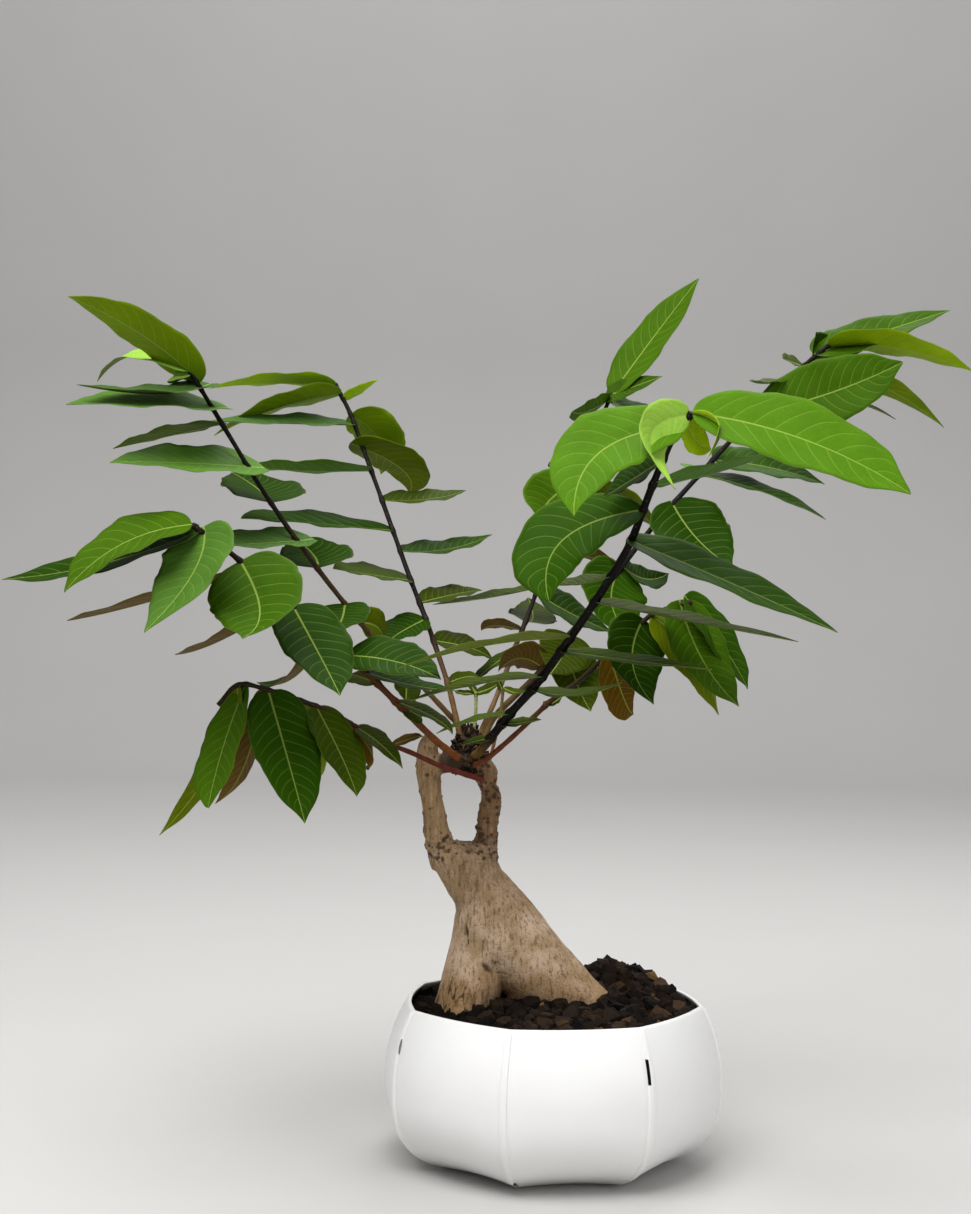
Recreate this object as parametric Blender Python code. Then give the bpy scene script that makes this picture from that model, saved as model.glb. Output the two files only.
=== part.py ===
# A potted Phyllanthus mirabilis: a swollen grey-tan trunk with two woody stems and a crown of
# leafy branches, in loose dark soil, in a white pot with seven ribs.
# Lengths are metres unless a name ends in _MM. X is right, Y is away from the front, Z is up.
# The origin is the middle of the flat underside of the pot.

import math
import random
from bisect import bisect_right
from collections import namedtuple

import bmesh
import bpy
from mathutils import Vector

MM = 0.001
GAP = 0.30 * MM
HOLE_GAP = 1.3 * GAP
HOLE_FOOT_GAP = 1.5 * GAP

# Pot
POT_HEIGHT = 70.0 * MM
POT_WIDEST_RADIUS = 75.9 * MM
POT_WIDEST_AT = 38.0 * MM
POT_LOWER_HALF_HEIGHT = 42.7 * MM
POT_LOWER_ORDER = 3.0
POT_UPPER_HALF_HEIGHT = 70.0 * MM
POT_WALL = 2.2 * MM
POT_FLOOR = 3.0 * MM
FOOT_EDGE = 1.2 * MM
RIM_EDGE = 0.5 * MM
OUTER_HEIGHTS = [h * MM for h in (1.5, 5.0, 12.0, 24.0, 38.0, 50.0, 61.0, 68.8)]
INNER_HEIGHTS = [POT_FLOOR, 16.0 * MM, 38.0 * MM, 54.0 * MM, 62.0 * MM, 68.8 * MM]
RIB_DEGS = (-64.8, -16.8, 31.8, 79.6, 132.5, 186.0, 240.5)
RIB_HALF_WIDTH = 1.3 * MM
RIB_EDGE = 0.45 * MM
RIB_RELIEF = 0.55 * MM
FLATNESS_FOOT = 1.55
FLATNESS_BARREL = 0.25
FLATNESS_RIM = 0.22
SLIT_SIZE = (1.2 * MM, 12.0 * MM, 9.8 * MM)
SLIT_RIB = 2
SLIT_BESIDE_RIB = -1.1 * MM
SLIT_AT = 53.0 * MM
DRAIN_HOLES = 5
DRAIN_RADIUS = 3.0 * MM
DRAIN_RING_RADIUS = 27.0 * MM

# Soil
SOIL_LEVEL = 64.0 * MM
SOIL_LEFT_DROP = 2.5 * MM
SOIL_EDGE_MOST = 67.0 * MM
SOIL_SHARES = (0.92, 0.78, 0.62, 0.43, 0.22)
# mounds, behind the trunk, round its foot and at the back left: height, x, y, spread
MOUNDS = ((10.5 * MM, 28.0 * MM, 40.0 * MM, 17.0 * MM), (4.5 * MM, -8.0 * MM, -8.0 * MM, 24.0 * MM),
          (4.5 * MM, -36.0 * MM, 44.0 * MM, 22.0 * MM))
GRAIN_RELIEF = 1.3 * MM
GRAIN_SEED = 7

# Where the photograph was taken from, and its frame in pixels
EYE = Vector((-31.5 * MM, -850.0 * MM, 244.4 * MM))
PHOTO_CENTRE = (485.5, 607.0)
PHOTO_FOCUS = 1904.0
PHOTO_ROLL = math.radians(0.7)

# Leaves
BLADE_THICKNESS = 0.70 * MM
BLADE_ROWS = (0.0, 0.07, 0.22, 0.45, 0.72, 1.0)
SMALL_BLADE_ROWS = (0.0, 0.12, 0.40, 1.0)
SMALL_BLADE_WIDE = 14.0
STUB_HALF_WIDTH = 0.7 * MM
WIDEST_AT = 0.36
SHARE_POWER = 0.85
SHARE_POWER_FALL = 1.6
SHARE_FOOT = 0.88
HEEL_SHIFT = 0.9
FOLD = math.radians(9.0)
WAVE_SHARE = 0.04
WAVES = 2.6
STEM_SIDES = 6

# A leaf as it is seen: foot, tip, and the near and the far edge where it is widest, in pixels of the
# photograph. deep is how far the tip lies behind the foot, wide the blade's width and heel how far
# it reaches back past its foot, in millimetres. under says that its lower side is seen, and at is
# how far along the leaf it is widest.
Leaf = namedtuple("Leaf", "foot tip near far deep wide heel under at", defaults=(0.0, False, WIDEST_AT))
# path holds (pixel x, pixel y, millimetres behind the pot's axis) from the foot to the tip of the
# stem; thick is its diameter at the foot and at the tip, in millimetres.
Frond = namedtuple("Frond", "name path thick leaves")
# One slice of the trunk: its pixel row, its two edges in pixels, its middle's depth and its half
# depth in millimetres.
Girth = namedtuple("Girth", "row left right deep half")
# A woody limb: pixels, depth and radius in millimetres.
Knot = namedtuple("Knot", "x y deep radius")

FRONDS = (
    Frond(
        "frond_upper_left",
        ((468, 738, 6), (461, 727, 7), (453, 719, 6.5), (440, 705, 3), (423, 687, -2),
         (400, 664, -8), (375, 640, -14), (317, 568, -26), (267, 497, -35), (230, 437, -41),
         (190, 371, -46)),
        (2.8, 1.9),
        (
            Leaf((189, 371), (68, 296), (162, 319), (140, 351), -12, 27, heel=6, under=True),
            Leaf((189, 372), (97, 381), (150, 357), (150, 346), 40, 16),
            Leaf((190, 373), (184, 379), (176, 379), (174, 369), 6, 8),
            Leaf((200, 386), (77, 384), (165, 391), (165, 385), -38, 26, heel=8),
            Leaf((213, 405), (66, 404), (160, 406), (160, 391), -42, 30, heel=8),
            Leaf((222, 425), (113, 448), (185, 423), (185, 432), 30, 24, under=True),
            Leaf((248, 466), (110, 462), (200, 470), (200, 446), -42, 32, heel=8),
            Leaf((272, 501), (232, 472), (303, 492), (223, 481), 50, 36),
            Leaf((298, 541), (196, 545), (262, 547), (262, 529), -26, 30, heel=8),
            Leaf((318, 568), (292, 536), (350, 556), (282, 551), 46, 32),
            Leaf((345, 604), (331, 633), (361, 621), (324, 606), -32, 24),
            Leaf((361, 621), (383, 641), (367, 635), (384, 614), 14, 16),
            Leaf((407, 671), (406, 701), (394, 686), (421, 686), -8, 14),
        ),
    ),
    Frond(
        "frond_front_left",
        ((459, 759, -5), (450, 752, -9), (433, 738, -14), (400, 706, -26), (361, 668, -38),
         (300, 614, -54), (233, 555, -70), (192, 525, -78)),
        (3.8, 2.0),
        (
            Leaf((191, 524), (64, 592), (139, 549), (122, 519), -14, 30, at=0.42),
            Leaf((200, 531), (2, 579), (125, 564), (125, 541), 22, 28),
            Leaf((206, 531), (144, 632), (226, 562), (159, 565), -26, 33, heel=5, at=0.40),
            Leaf((242, 561), (242, 638), (301, 595), (212, 591), -45, 38),
            Leaf((250, 570), (67, 620), (165, 589), (165, 595), 26, 24, under=True),
            Leaf((285, 600), (175, 654), (235, 624), (235, 632), 28, 22, under=True),
            Leaf((294, 607), (340, 695), (279, 645), (348, 631), -36, 33, heel=2),
            Leaf((325, 636), (257, 682), (300, 662), (300, 671), 25, 20, under=True),
            Leaf((350, 654), (441, 679), (376, 672), (389, 637), -15, 30),
            Leaf((366, 672), (455, 690), (400, 686), (400, 673), 5, 17),
            Leaf((378, 684), (350, 674), (362, 683), (366, 669), 18, 15),
            Leaf((396, 702), (453, 734), (423, 716), (428, 706), -5, 12),
            Leaf((401, 707), (422, 718), (408, 717), (421, 706), 8, 12),
        ),
    ),
    Frond(
        "frond_low_left",
        ((482, 779, -3), (470, 776, -8), (455, 771, -11), (438, 765, -13), (412, 753, -17),
         (375, 738, -23), (325, 710, -33), (268, 690, -44), (238, 685, -49), (218, 705, -53)),
        (2.6, 1.8),
        (
            Leaf((247, 682), (208, 808), (237, 754), (199, 752), -22, 22, at=0.56),
            Leaf((240, 687), (159, 835), (231, 748), (208, 740), 13, 18),
            Leaf((262, 690), (215, 803), (238, 741), (258, 752), 14, 17, under=True),
            Leaf((269, 690), (305, 823), (250, 742), (319, 738), -26, 32),
            Leaf((300, 700), (317, 778), (307, 737), (328, 745), 14, 18, under=True),
            Leaf((315, 706), (357, 796), (318, 747), (357, 736), -22, 25),
            Leaf((345, 722), (364, 768), (358, 746), (373, 749), 14, 13, under=True),
            Leaf((355, 728), (403, 768), (367, 742), (380, 730), -12, 14),
            Leaf((392, 744), (423, 736), (405, 744), (404, 735), -5, 7),
        ),
    ),
    Frond(
        "frond_centre",
        ((463, 752, -1), (460, 735, 0), (457, 722, 1), (452, 700, 6), (446, 678, 11),
         (428, 625, 25), (410, 578, 35), (383, 503, 47), (363, 448, 55), (350, 413, 59),
         (335, 384, 62)),
        (2.8, 1.9),
        (
            Leaf((336, 385), (209, 388), (290, 372), (290, 385), -15, 25, under=True),
            Leaf((340, 395), (214, 435), (295, 388), (295, 407), -20, 27, under=True),
            Leaf((342, 398), (378, 379), (354, 387), (353, 398), 5, 9, under=True),
            Leaf((351, 414), (381, 474), (397, 420), (353, 437), 25, 28, under=True),
            Leaf((354, 425), (209, 421), (300, 424), (300, 414), -32, 27),
            Leaf((363, 448), (409, 494), (421, 456), (375, 466), 28, 28, heel=4, under=True),
            Leaf((371, 470), (245, 463), (305, 460), (305, 472), -25, 26, under=True),
            Leaf((382, 500), (466, 490), (418, 502), (418, 490), 14, 25),
            Leaf((393, 530), (241, 518), (318, 525), (318, 512), -30, 30),
            Leaf((401, 552), (492, 534), (436, 553), (435, 540), 16, 27),
            Leaf((411, 580), (333, 568), (375, 577), (378, 566), -25, 24),
            Leaf((421, 602), (482, 590), (446, 600), (444, 585), 12, 24),
            Leaf((426, 620), (387, 643), (414, 636), (399, 615), -18, 22),
            Leaf((434, 642), (493, 659), (459, 651), (464, 634), 10, 20),
            Leaf((448, 683), (481, 679), (462, 681), (462, 671), 3, 12),
        ),
    ),
    Frond(
        "frond_front_right",
        ((474, 756, -4), (482, 749, -10), (509, 715, -24), (539, 681, -38), (580, 624, -58),
         (612, 575, -75), (631, 541, -86), (652, 487, -100), (672, 440, -110), (692, 413, -115)),
        (4.3, 2.6),
        (
            Leaf((692, 413), (911, 494), (786, 463), (811, 402), -14, 33, at=0.46),
            Leaf((693, 411), (706, 458), (720, 424), (709, 420), -12, 8),
            Leaf((689, 414), (676, 489), (641, 424), (675, 428), -22, 17),
            Leaf((680, 426), (574, 516), (640, 462), (584, 416), -28, 35, at=0.40),
            Leaf((686, 420), (712, 450), (683, 442), (706, 429), 8, 13),
            Leaf((663, 461), (602, 498), (636, 484), (640, 456), 8, 26),
            Leaf((653, 486), (768, 454), (696, 467), (698, 477), 26, 24, under=True),
            Leaf((643, 511), (549, 601), (594, 552), (528, 520), -16, 36, at=0.50),
            Leaf((632, 541), (838, 632), (706, 583), (712, 553), -14, 29, heel=2),
            Leaf((611, 577), (519, 580), (578, 584), (578, 576), 6, 20),
            Leaf((597, 603), (798, 641), (662, 615), (662, 607), 2, 24),
            Leaf((566, 634), (398, 668), (512, 634), (511, 640), -12, 22, under=True),
            Leaf((560, 652), (712, 669), (614, 661), (614, 651), -36, 14),
            Leaf((541, 677), (411, 700), (498, 681), (496, 674), -12, 18),
            Leaf((533, 690), (622, 682), (563, 697), (563, 688), -6, 16),
            Leaf((510, 714), (436, 733), (482, 719), (481, 714), 3, 12),
            Leaf((502, 725), (541, 719), (516, 726), (516, 718), -9, 10),
            Leaf((490, 738), (462, 745), (479, 743), (478, 736), -3, 8),
        ),
    ),
    Frond(
        "frond_far_right",
        ((476, 751, 2), (484, 738, 5), (497, 714, 10), (543, 668, 18), (598, 598, 28),
         (652, 528, 38), (713, 460, 49), (750, 420, 55), (787, 380, 61), (816, 356, 65),
         (829, 345, 67)),
        (3.2, 1.9),
        (
            Leaf((820, 352), (950, 310), (872, 347), (856, 321), 14, 27, heel=4),
            Leaf((827, 345), (973, 371), (886, 329), (884, 354), -12, 28, under=True, at=0.42),
            Leaf((812, 358), (862, 351), (808, 341), (819, 374), 28, 26, under=True),
            Leaf((803, 366), (783, 358), (795, 365), (795, 357), -8, 12),
            Leaf((788, 380), (750, 380), (770, 382), (770, 379), -12, 14),
            Leaf((783, 385), (944, 427), (838, 362), (837, 380), 24, 22, under=True),
            Leaf((757, 413), (903, 362), (838, 424), (812, 362), -22, 33, at=0.45),
            Leaf((752, 419), (896, 419), (806, 403), (806, 391), 18, 22),
            Leaf((714, 459), (825, 484), (755, 472), (759, 450), 18, 26),
            Leaf((703, 471), (681, 463), (692, 469), (692, 465), 8, 8),
            Leaf((699, 476), (826, 519), (747, 488), (750, 478), -8, 22),
            Leaf((673, 503), (733, 567), (660, 541), (723, 513), -26, 36, heel=2),
            Leaf((655, 524), (588, 503), (627, 488), (625, 509), 24, 24, under=True),
            Leaf((620, 567), (573, 556), (600, 551), (600, 562), 22, 18, under=True),
            Leaf((622, 565), (669, 573), (642, 584), (640, 566), 18, 18),
            Leaf((622, 565), (634, 641), (582, 590), (646, 590), -20, 34),
            Leaf((566, 640), (591, 711), (551, 674), (598, 667), -12, 24),
            Leaf((570, 635), (550, 674), (540, 652), (590, 645), -22, 26),
            Leaf((543, 668), (498, 671), (533, 642), (519, 668), -4, 22, under=True),
        ),
    ),
    Frond(
        "frond_back",
        ((475, 741, 7), (482, 729, 12), (493, 705, 21), (503, 680, 30), (516, 645, 40),
         (530, 610, 50), (555, 540, 68), (590, 450, 90), (605, 410, 99), (612, 394, 102)),
        (2.6, 1.8),
        (
            Leaf((612, 392), (699, 278), (661, 352), (630, 335), 6, 25, at=0.42),
            Leaf((611, 393), (662, 376), (630, 396), (623, 379), -10, 14, heel=9, at=0.42),
            Leaf((610, 399), (572, 411), (592, 399), (588, 415), -20, 18, under=True),
            Leaf((610, 399), (668, 412), (638, 417), (637, 402), -10, 20),
            Leaf((589, 456), (548, 464), (567, 448), (567, 466), -8, 18, under=True),
            Leaf((578, 480), (556, 532), (527, 503), (571, 499), -36, 29, at=0.42),
            Leaf((538, 588), (433, 604), (500, 595), (500, 589), 8, 20),
            Leaf((536, 594), (612, 632), (560, 618), (564, 591), 12, 26),
            Leaf((526, 622), (528, 597), (557, 622), (509, 610), 38, 24),
            Leaf((521, 630), (481, 630), (503, 619), (503, 628), 10, 12, under=True),
            Leaf((514, 650), (474, 681), (497, 666), (490, 659), -6, 12),
        ),
    ),
    Frond(
        "frond_low_right",
        ((473, 765, -5), (484, 761, -11), (500, 748, -14), (519, 731, -17), (552, 700, -22),
         (580, 680, -25), (610, 652, -30), (646, 619, -35), (665, 609, -37), (692, 602, -40)),
        (2.6, 1.8),
        (
            Leaf((690, 602), (748, 689), (707, 641), (733, 629), 4, 24, heel=3),
            Leaf((680, 605), (739, 706), (675, 656), (721, 633), -20, 27, heel=2),
            Leaf((652, 617), (718, 715), (665, 651), (697, 643), 16, 24, under=True),
            Leaf((641, 623), (654, 704), (607, 652), (663, 651), -20, 29, heel=2),
            Leaf((609, 653), (633, 714), (602, 690), (633, 688), 12, 18, under=True),
            Leaf((603, 658), (600, 681), (598, 669), (606, 666), 7, 7),
            Leaf((544, 706), (562, 696), (552, 706), (550, 699), 4, 8),
        ),
    ),
    Frond(
        "shoot_pale",
        ((473, 738, 2), (475, 722, 3), (476, 706, 4), (476, 692, 5)),
        (1.6, 1.4),
        (
            Leaf((476, 693), (500, 681), (488, 693), (486, 684), -4, 8),
            Leaf((476, 694), (455, 690), (464, 695), (465, 690), 2, 6),
            Leaf((476, 693), (471, 683), (471, 690), (475, 686), 4, 4),
        ),
    ),
    Frond(
        "shoot_tan",
        ((486, 769, 1), (491, 755, 1), (496, 735, -1), (501, 710, -3), (503, 688, -5)),
        (1.7, 1.4),
        (
            Leaf((503, 688), (526, 690), (513, 694), (513, 688), -6, 8),
            Leaf((503, 691), (496, 680), (502, 683), (497, 686), 5, 5),
        ),
    ),
)

TRUNK_LEFT = (
    Girth(843, 430, 492, 4, 9.5), Girth(850, 427, 496, 4, 13.5), Girth(865, 433, 500, 4, 14.0),
    Girth(879, 440, 506, 5, 14.5), Girth(892, 447, 509, 5, 15.0), Girth(906, 455, 511, 5, 16.0),
    Girth(919, 454, 512, 5, 16.5), Girth(940, 451, 511, 6, 18.0), Girth(959, 446, 509, 6, 19.5),
    Girth(978, 441, 506, 6, 21.0), Girth(994, 437, 501, 6, 22.0), Girth(1009, 434, 497, 6, 22.5),
    Girth(1040, 440, 490, 6, 18.0), Girth(1065, 452, 482, 6, 11.0),
)
TRUNK_RIGHT = (
    Girth(872, 466, 504, 5, 10.0), Girth(892, 470, 522, 6, 14.0), Girth(906, 474, 534, 6, 16.0),
    Girth(919, 482, 544.5, 7, 17.5), Girth(940, 490, 561, 8, 19.5), Girth(959, 499, 578.5, 8, 20.0),
    Girth(978, 506, 594, 8, 20.0), Girth(994, 512, 610, 8, 19.0), Girth(1010, 520, 622, 8, 17.5),
    Girth(1035, 534, 612, 8, 13.0), Girth(1055, 550, 590, 8, 8.0),
)
TRUNK_BACK = (
    Girth(872, 452, 496, 8, 10.0), Girth(892, 454, 505, 12, 12.0), Girth(919, 458, 515, 17, 14.0),
    Girth(945, 464, 524, 22, 15.0), Girth(970, 470, 532, 26, 15.0), Girth(995, 474, 538, 30, 14.0),
    Girth(1025, 480, 536, 32, 11.0), Girth(1050, 492, 522, 32, 6.0),
)
TRUNK_MIDDLE = (
    Girth(872, 455, 503, 6, 12.5), Girth(892, 456, 520, 6, 15.8), Girth(919, 462, 535, 6, 19.0),
    Girth(945, 464, 552, 6.5, 20.8), Girth(969, 482, 567, 7.2, 20.4), Girth(988, 500, 576, 8, 19.0),
    Girth(1004, 508, 580, 8, 16.0), Girth(1024, 522, 574, 8, 11.0),
)
LEFT_LIMB = (
    Knot(444, 868, 3, 5.8), Knot(439, 842, 2, 6.2), Knot(436, 828, 1.5, 5.6), Knot(434, 812, 1, 5.1),
    Knot(431, 794, 0.5, 5.0), Knot(428.5, 775, 0, 5.5), Knot(427, 758, -0.5, 5.0),
    Knot(428.5, 744, -0.5, 4.5), Knot(431, 735.5, -0.5, 2.8),
)
RIGHT_LIMB = (
    Knot(483, 868, 4, 5.0), Knot(486, 842, 3.5, 5.2), Knot(487, 828, 3, 4.7), Knot(489, 812, 2.5, 4.6),
    Knot(491, 799, 2, 4.2), Knot(488, 785, 1.5, 3.9), Knot(485.5, 772, 1, 4.9), Knot(484, 762, 1, 3.6),
)
CROWN_BRIDGE = (
    Knot(435, 767, -0.5, 3.6), Knot(448, 762, -0.5, 5.0), Knot(460, 760, 0.5, 5.6),
    Knot(469, 759, 1, 5.6), Knot(477, 761, 1, 5.0), Knot(487, 767, 1, 3.8),
)
CROWN_KNOB = (
    Knot(467, 768, 1.5, 3.0), Knot(467, 762, 1.5, 5.2), Knot(467, 752, 2, 6.4), Knot(468, 742, 3, 5.6),
    Knot(469, 733, 4, 4.3), Knot(470, 726, 4.5, 2.4),
)
CROWN_DEPTH_SHARE = 1.3
SOCKET_KNOTS = 4
LIMB_SIDES = 8
TRUNK_SIDES = 14

Colour = namedtuple("Colour", "red green blue rough")
WHITE_PLASTIC = Colour(0.86, 0.86, 0.85, 0.45)
DARK_SOIL = Colour(0.045, 0.032, 0.025, 0.95)
TAN_BARK = Colour(0.42, 0.32, 0.22, 0.85)
LEAF_GREEN = Colour(0.07, 0.17, 0.03, 0.45)
YOUNG_GREEN = Colour(0.22, 0.38, 0.06, 0.45)


def clear_scene():
    for thing in list(bpy.data.objects):
        bpy.data.objects.remove(thing)


def sight(x, y, deep_mm):
    """The point seen at pixel (x, y) of the photograph, deep_mm behind the pot's axis."""
    across = (x - PHOTO_CENTRE[0]) / PHOTO_FOCUS
    up = (PHOTO_CENTRE[1] - y) / PHOTO_FOCUS
    turned_across = across * math.cos(PHOTO_ROLL) - up * math.sin(PHOTO_ROLL)
    turned_up = across * math.sin(PHOTO_ROLL) + up * math.cos(PHOTO_ROLL)
    reach = deep_mm * MM - EYE.y
    return EYE + Vector((turned_across, 1.0, turned_up)) * reach


def pixel(point):
    """The pixel of the photograph where a point is seen."""
    reach = point.y - EYE.y
    across = (point.x - EYE.x) / reach
    up = (point.z - EYE.z) / reach
    turned_across = across * math.cos(PHOTO_ROLL) + up * math.sin(PHOTO_ROLL)
    turned_up = up * math.cos(PHOTO_ROLL) - across * math.sin(PHOTO_ROLL)
    return (PHOTO_CENTRE[0] + turned_across * PHOTO_FOCUS, PHOTO_CENTRE[1] - turned_up * PHOTO_FOCUS)


def finish_for(name, colour):
    material = bpy.data.materials.new(name)
    material.use_nodes = True
    shader = material.node_tree.nodes["Principled BSDF"]
    shader.inputs["Base Color"].default_value = (colour.red, colour.green, colour.blue, 1.0)
    shader.inputs["Roughness"].default_value = colour.rough
    shader.inputs["Metallic"].default_value = 0.0
    return material


def object_from(bm, name, collection=None):
    bmesh.ops.recalc_face_normals(bm, faces=bm.faces)
    mesh = bpy.data.meshes.new(name)
    bm.to_mesh(mesh)
    bm.free()
    thing = bpy.data.objects.new(name, mesh)
    (collection or bpy.context.scene.collection).objects.link(thing)
    return thing


def bridge(bm, lower, upper):
    """Triangles between two closed rings of the same number of points."""
    count = len(lower)
    for i in range(count):
        j = (i + 1) % count
        bm.faces.new((lower[i], lower[j], upper[j]))
        bm.faces.new((lower[i], upper[j], upper[i]))


def ring_body(name, rings, collection=None):
    """A closed body through rings of points, from its first ring to its last, with flat ends."""
    bm = bmesh.new()
    loops = [[bm.verts.new(point) for point in ring] for ring in rings]
    for lower, upper in zip(loops, loops[1:]):
        bridge(bm, lower, upper)
    bm.faces.new(loops[0])
    bm.faces.new(loops[-1])
    return object_from(bm, name, collection)


def apply_boolean(body, tools, operation, solver="EXACT"):
    """Cuts or joins every object of a collection with body, and removes the collection."""
    change = body.modifiers.new("change", "BOOLEAN")
    change.operand_type = "COLLECTION"
    change.collection = tools
    change.operation = operation
    change.solver = solver
    bpy.context.view_layer.update()
    seen = body.evaluated_get(bpy.context.evaluated_depsgraph_get())
    mesh = bpy.data.meshes.new_from_object(seen)
    body.modifiers.clear()
    body.data = mesh
    for tool in list(tools.objects):
        bpy.data.objects.remove(tool)
    bpy.data.collections.remove(tools)


def tool_collection(name):
    collection = bpy.data.collections.new(name)
    bpy.context.scene.collection.children.link(collection)
    return collection


def shade_round(thing, degrees=40.0):
    thing.data.shade_smooth()
    thing.data.set_sharp_from_angle(angle=math.radians(degrees))


def rib_angle(rib):
    """The angle of a rib, counted on past the last and back past the first."""
    turns, place = divmod(rib, len(RIB_DEGS))
    return math.radians(RIB_DEGS[place]) + 2.0 * math.pi * turns


def ribs_beside(angle):
    """The angles of the ribs before and after an angle."""
    ribs = [rib_angle(rib) for rib in range(-1, len(RIB_DEGS) + 2)]
    after = bisect_right(ribs, angle)
    return ribs[after - 1], ribs[after]


def pot_radius(angle, height, inset=0.0):
    """Radius of the pot: a barrel, flattened between its ribs most of all near the foot."""
    if height < POT_WIDEST_AT:
        share = (POT_WIDEST_AT - height) / POT_LOWER_HALF_HEIGHT
        barrel = (1.0 - share ** POT_LOWER_ORDER) ** (1.0 / POT_LOWER_ORDER)
        flatness = FLATNESS_BARREL + FLATNESS_FOOT * (1.0 - height / POT_WIDEST_AT) ** 2.5
    else:
        share = (height - POT_WIDEST_AT) / POT_UPPER_HALF_HEIGHT
        barrel = math.sqrt(1.0 - share * share)
        rise = (height - POT_WIDEST_AT) / (POT_HEIGHT - POT_WIDEST_AT)
        flatness = FLATNESS_BARREL + FLATNESS_RIM * rise * rise
    before, after = ribs_beside(angle)
    half_pitch = (after - before) / 2.0
    off_rib = min(angle - before, after - angle)
    chord = math.cos(half_pitch) / math.cos(half_pitch - off_rib)
    return POT_WIDEST_RADIUS * barrel * (1.0 - flatness * (1.0 - chord)) - inset


def pot_angles():
    """Angles from the front to the right where the pot has points: a rib's edges, then the lobe."""
    flank = RIB_HALF_WIDTH / POT_WIDEST_RADIUS
    toe = (RIB_HALF_WIDTH + RIB_EDGE) / POT_WIDEST_RADIUS
    angles = []
    for rib in range(len(RIB_DEGS)):
        start = rib_angle(rib)
        pitch = rib_angle(rib + 1) - start
        offsets = (-toe, -flank, flank, toe, 0.20 * pitch, 0.5 * pitch, 0.80 * pitch)
        angles += [(start + offset, abs(offset) <= flank) for offset in offsets]
    return angles


def pot_ring(height, inset=0.0, ribbed=False):
    """Points round the pot at one height, or at one for each; angles run from the front to the right."""
    angles = pot_angles()
    heights = height if isinstance(height, list) else [height] * len(angles)
    ring = []
    for (angle, on_rib), level in zip(angles, heights):
        radius = pot_radius(angle, level, inset)
        if ribbed and on_rib:
            radius += RIB_RELIEF
        ring.append(Vector((radius * math.sin(angle), -radius * math.cos(angle), level)))
    return ring


def beside_rib(rib, off, height):
    """A place on the pot's wall, off metres to the right of a rib, and the wall's direction."""
    turn = rib_angle(rib) + off / POT_WIDEST_RADIUS
    radius = pot_radius(turn, height)
    return Vector((radius * math.sin(turn), -radius * math.cos(turn), height)), turn


def make_pot():
    rings = [pot_ring(height, POT_WALL) for height in INNER_HEIGHTS]
    rings.append(pot_ring(POT_HEIGHT, POT_WALL - RIM_EDGE))
    rings.append(pot_ring(POT_HEIGHT, RIM_EDGE))
    rings += [pot_ring(height, ribbed=True) for height in reversed(OUTER_HEIGHTS)]
    rings.append(pot_ring(0.0, FOOT_EDGE))
    pot = ring_body("pot", rings)
    tools = tool_collection("pot_cuts")
    place, turn = beside_rib(SLIT_RIB, SLIT_BESIDE_RIB, SLIT_AT)
    add_box("slit", SLIT_SIZE, place, turn, tools)
    for k in range(DRAIN_HOLES):
        around = 2.0 * math.pi * k / DRAIN_HOLES
        middle = Vector((math.sin(around), math.cos(around), 0.0)) * DRAIN_RING_RADIUS
        ends = (Vector((0.0, 0.0, -0.005)), Vector((0.0, 0.0, 0.010)))
        add_rod("drain", [middle + end for end in ends], [DRAIN_RADIUS] * 2, 12, tools)
    apply_boolean(pot, tools, "DIFFERENCE")
    pot.data.materials.clear()
    pot.data.materials.append(finish_for("white plastic", WHITE_PLASTIC))
    shade_round(pot, 35.0)
    return pot


def add_box(name, size, place, turn, collection):
    bm = bmesh.new()
    bmesh.ops.create_cube(bm, size=1.0)
    bmesh.ops.scale(bm, vec=size, verts=bm.verts)
    box = object_from(bm, name, collection)
    box.location = place
    box.rotation_euler = (0.0, 0.0, turn)
    return box


def soil_height(x, y):
    """Height of the soil: a little lower at the left, with bell-shaped mounds."""
    level = SOIL_LEVEL + SOIL_LEFT_DROP * (x / POT_WIDEST_RADIUS)
    for height, mound_x, mound_y, spread in MOUNDS:
        far = (x - mound_x) ** 2 + (y - mound_y) ** 2
        level += height * math.exp(-far / (2.0 * spread ** 2))
    return level


def make_soil(caudex_cutter):
    rng = random.Random(GRAIN_SEED)
    inset = POT_WALL + GAP
    rings = [pot_ring(height, inset) for height in INNER_HEIGHTS[:-2]]
    for point in rings[0]:
        point.z += HOLE_GAP
    level_edge = pot_ring(SOIL_LEVEL, inset)
    edge = pot_ring([min(soil_height(p.x, p.y), SOIL_EDGE_MOST) for p in level_edge], inset)
    rings.append(edge)
    for share in SOIL_SHARES:
        ring = []
        for p in edge:
            x = p.x * share
            y = p.y * share
            rough = rng.uniform(-1.0, 1.0) * GRAIN_RELIEF
            ring.append(Vector((x, y, soil_height(x, y) + rough)))
        rings.append(ring)
    soil = ring_body("soil", rings)
    tools = tool_collection("soil_cuts")
    for thing in caudex_cutter:
        for other in list(thing.users_collection):
            other.objects.unlink(thing)
        tools.objects.link(thing)
    apply_boolean(soil, tools, "DIFFERENCE")
    soil.data.materials.clear()
    soil.data.materials.append(finish_for("dark lava soil", DARK_SOIL))
    return soil


def add_rod(name, points, radii, sides, collection=None, depth_share=1.0):
    """A round limb through points, its rings square to the path, with flat ends."""
    rings = []
    for i, point in enumerate(points):
        along = (points[min(i + 1, len(points) - 1)] - points[max(i - 1, 0)]).normalized()
        side = along.cross(Vector((0.0, 1.0, 0.0))).normalized()
        back = side.cross(along).normalized() * depth_share
        rings.append([point + radii[i] * (side * math.cos(turn) + back * math.sin(turn))
                      for turn in (2.0 * math.pi * k / sides for k in range(sides))])
    return ring_body(name, rings, collection)


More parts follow.
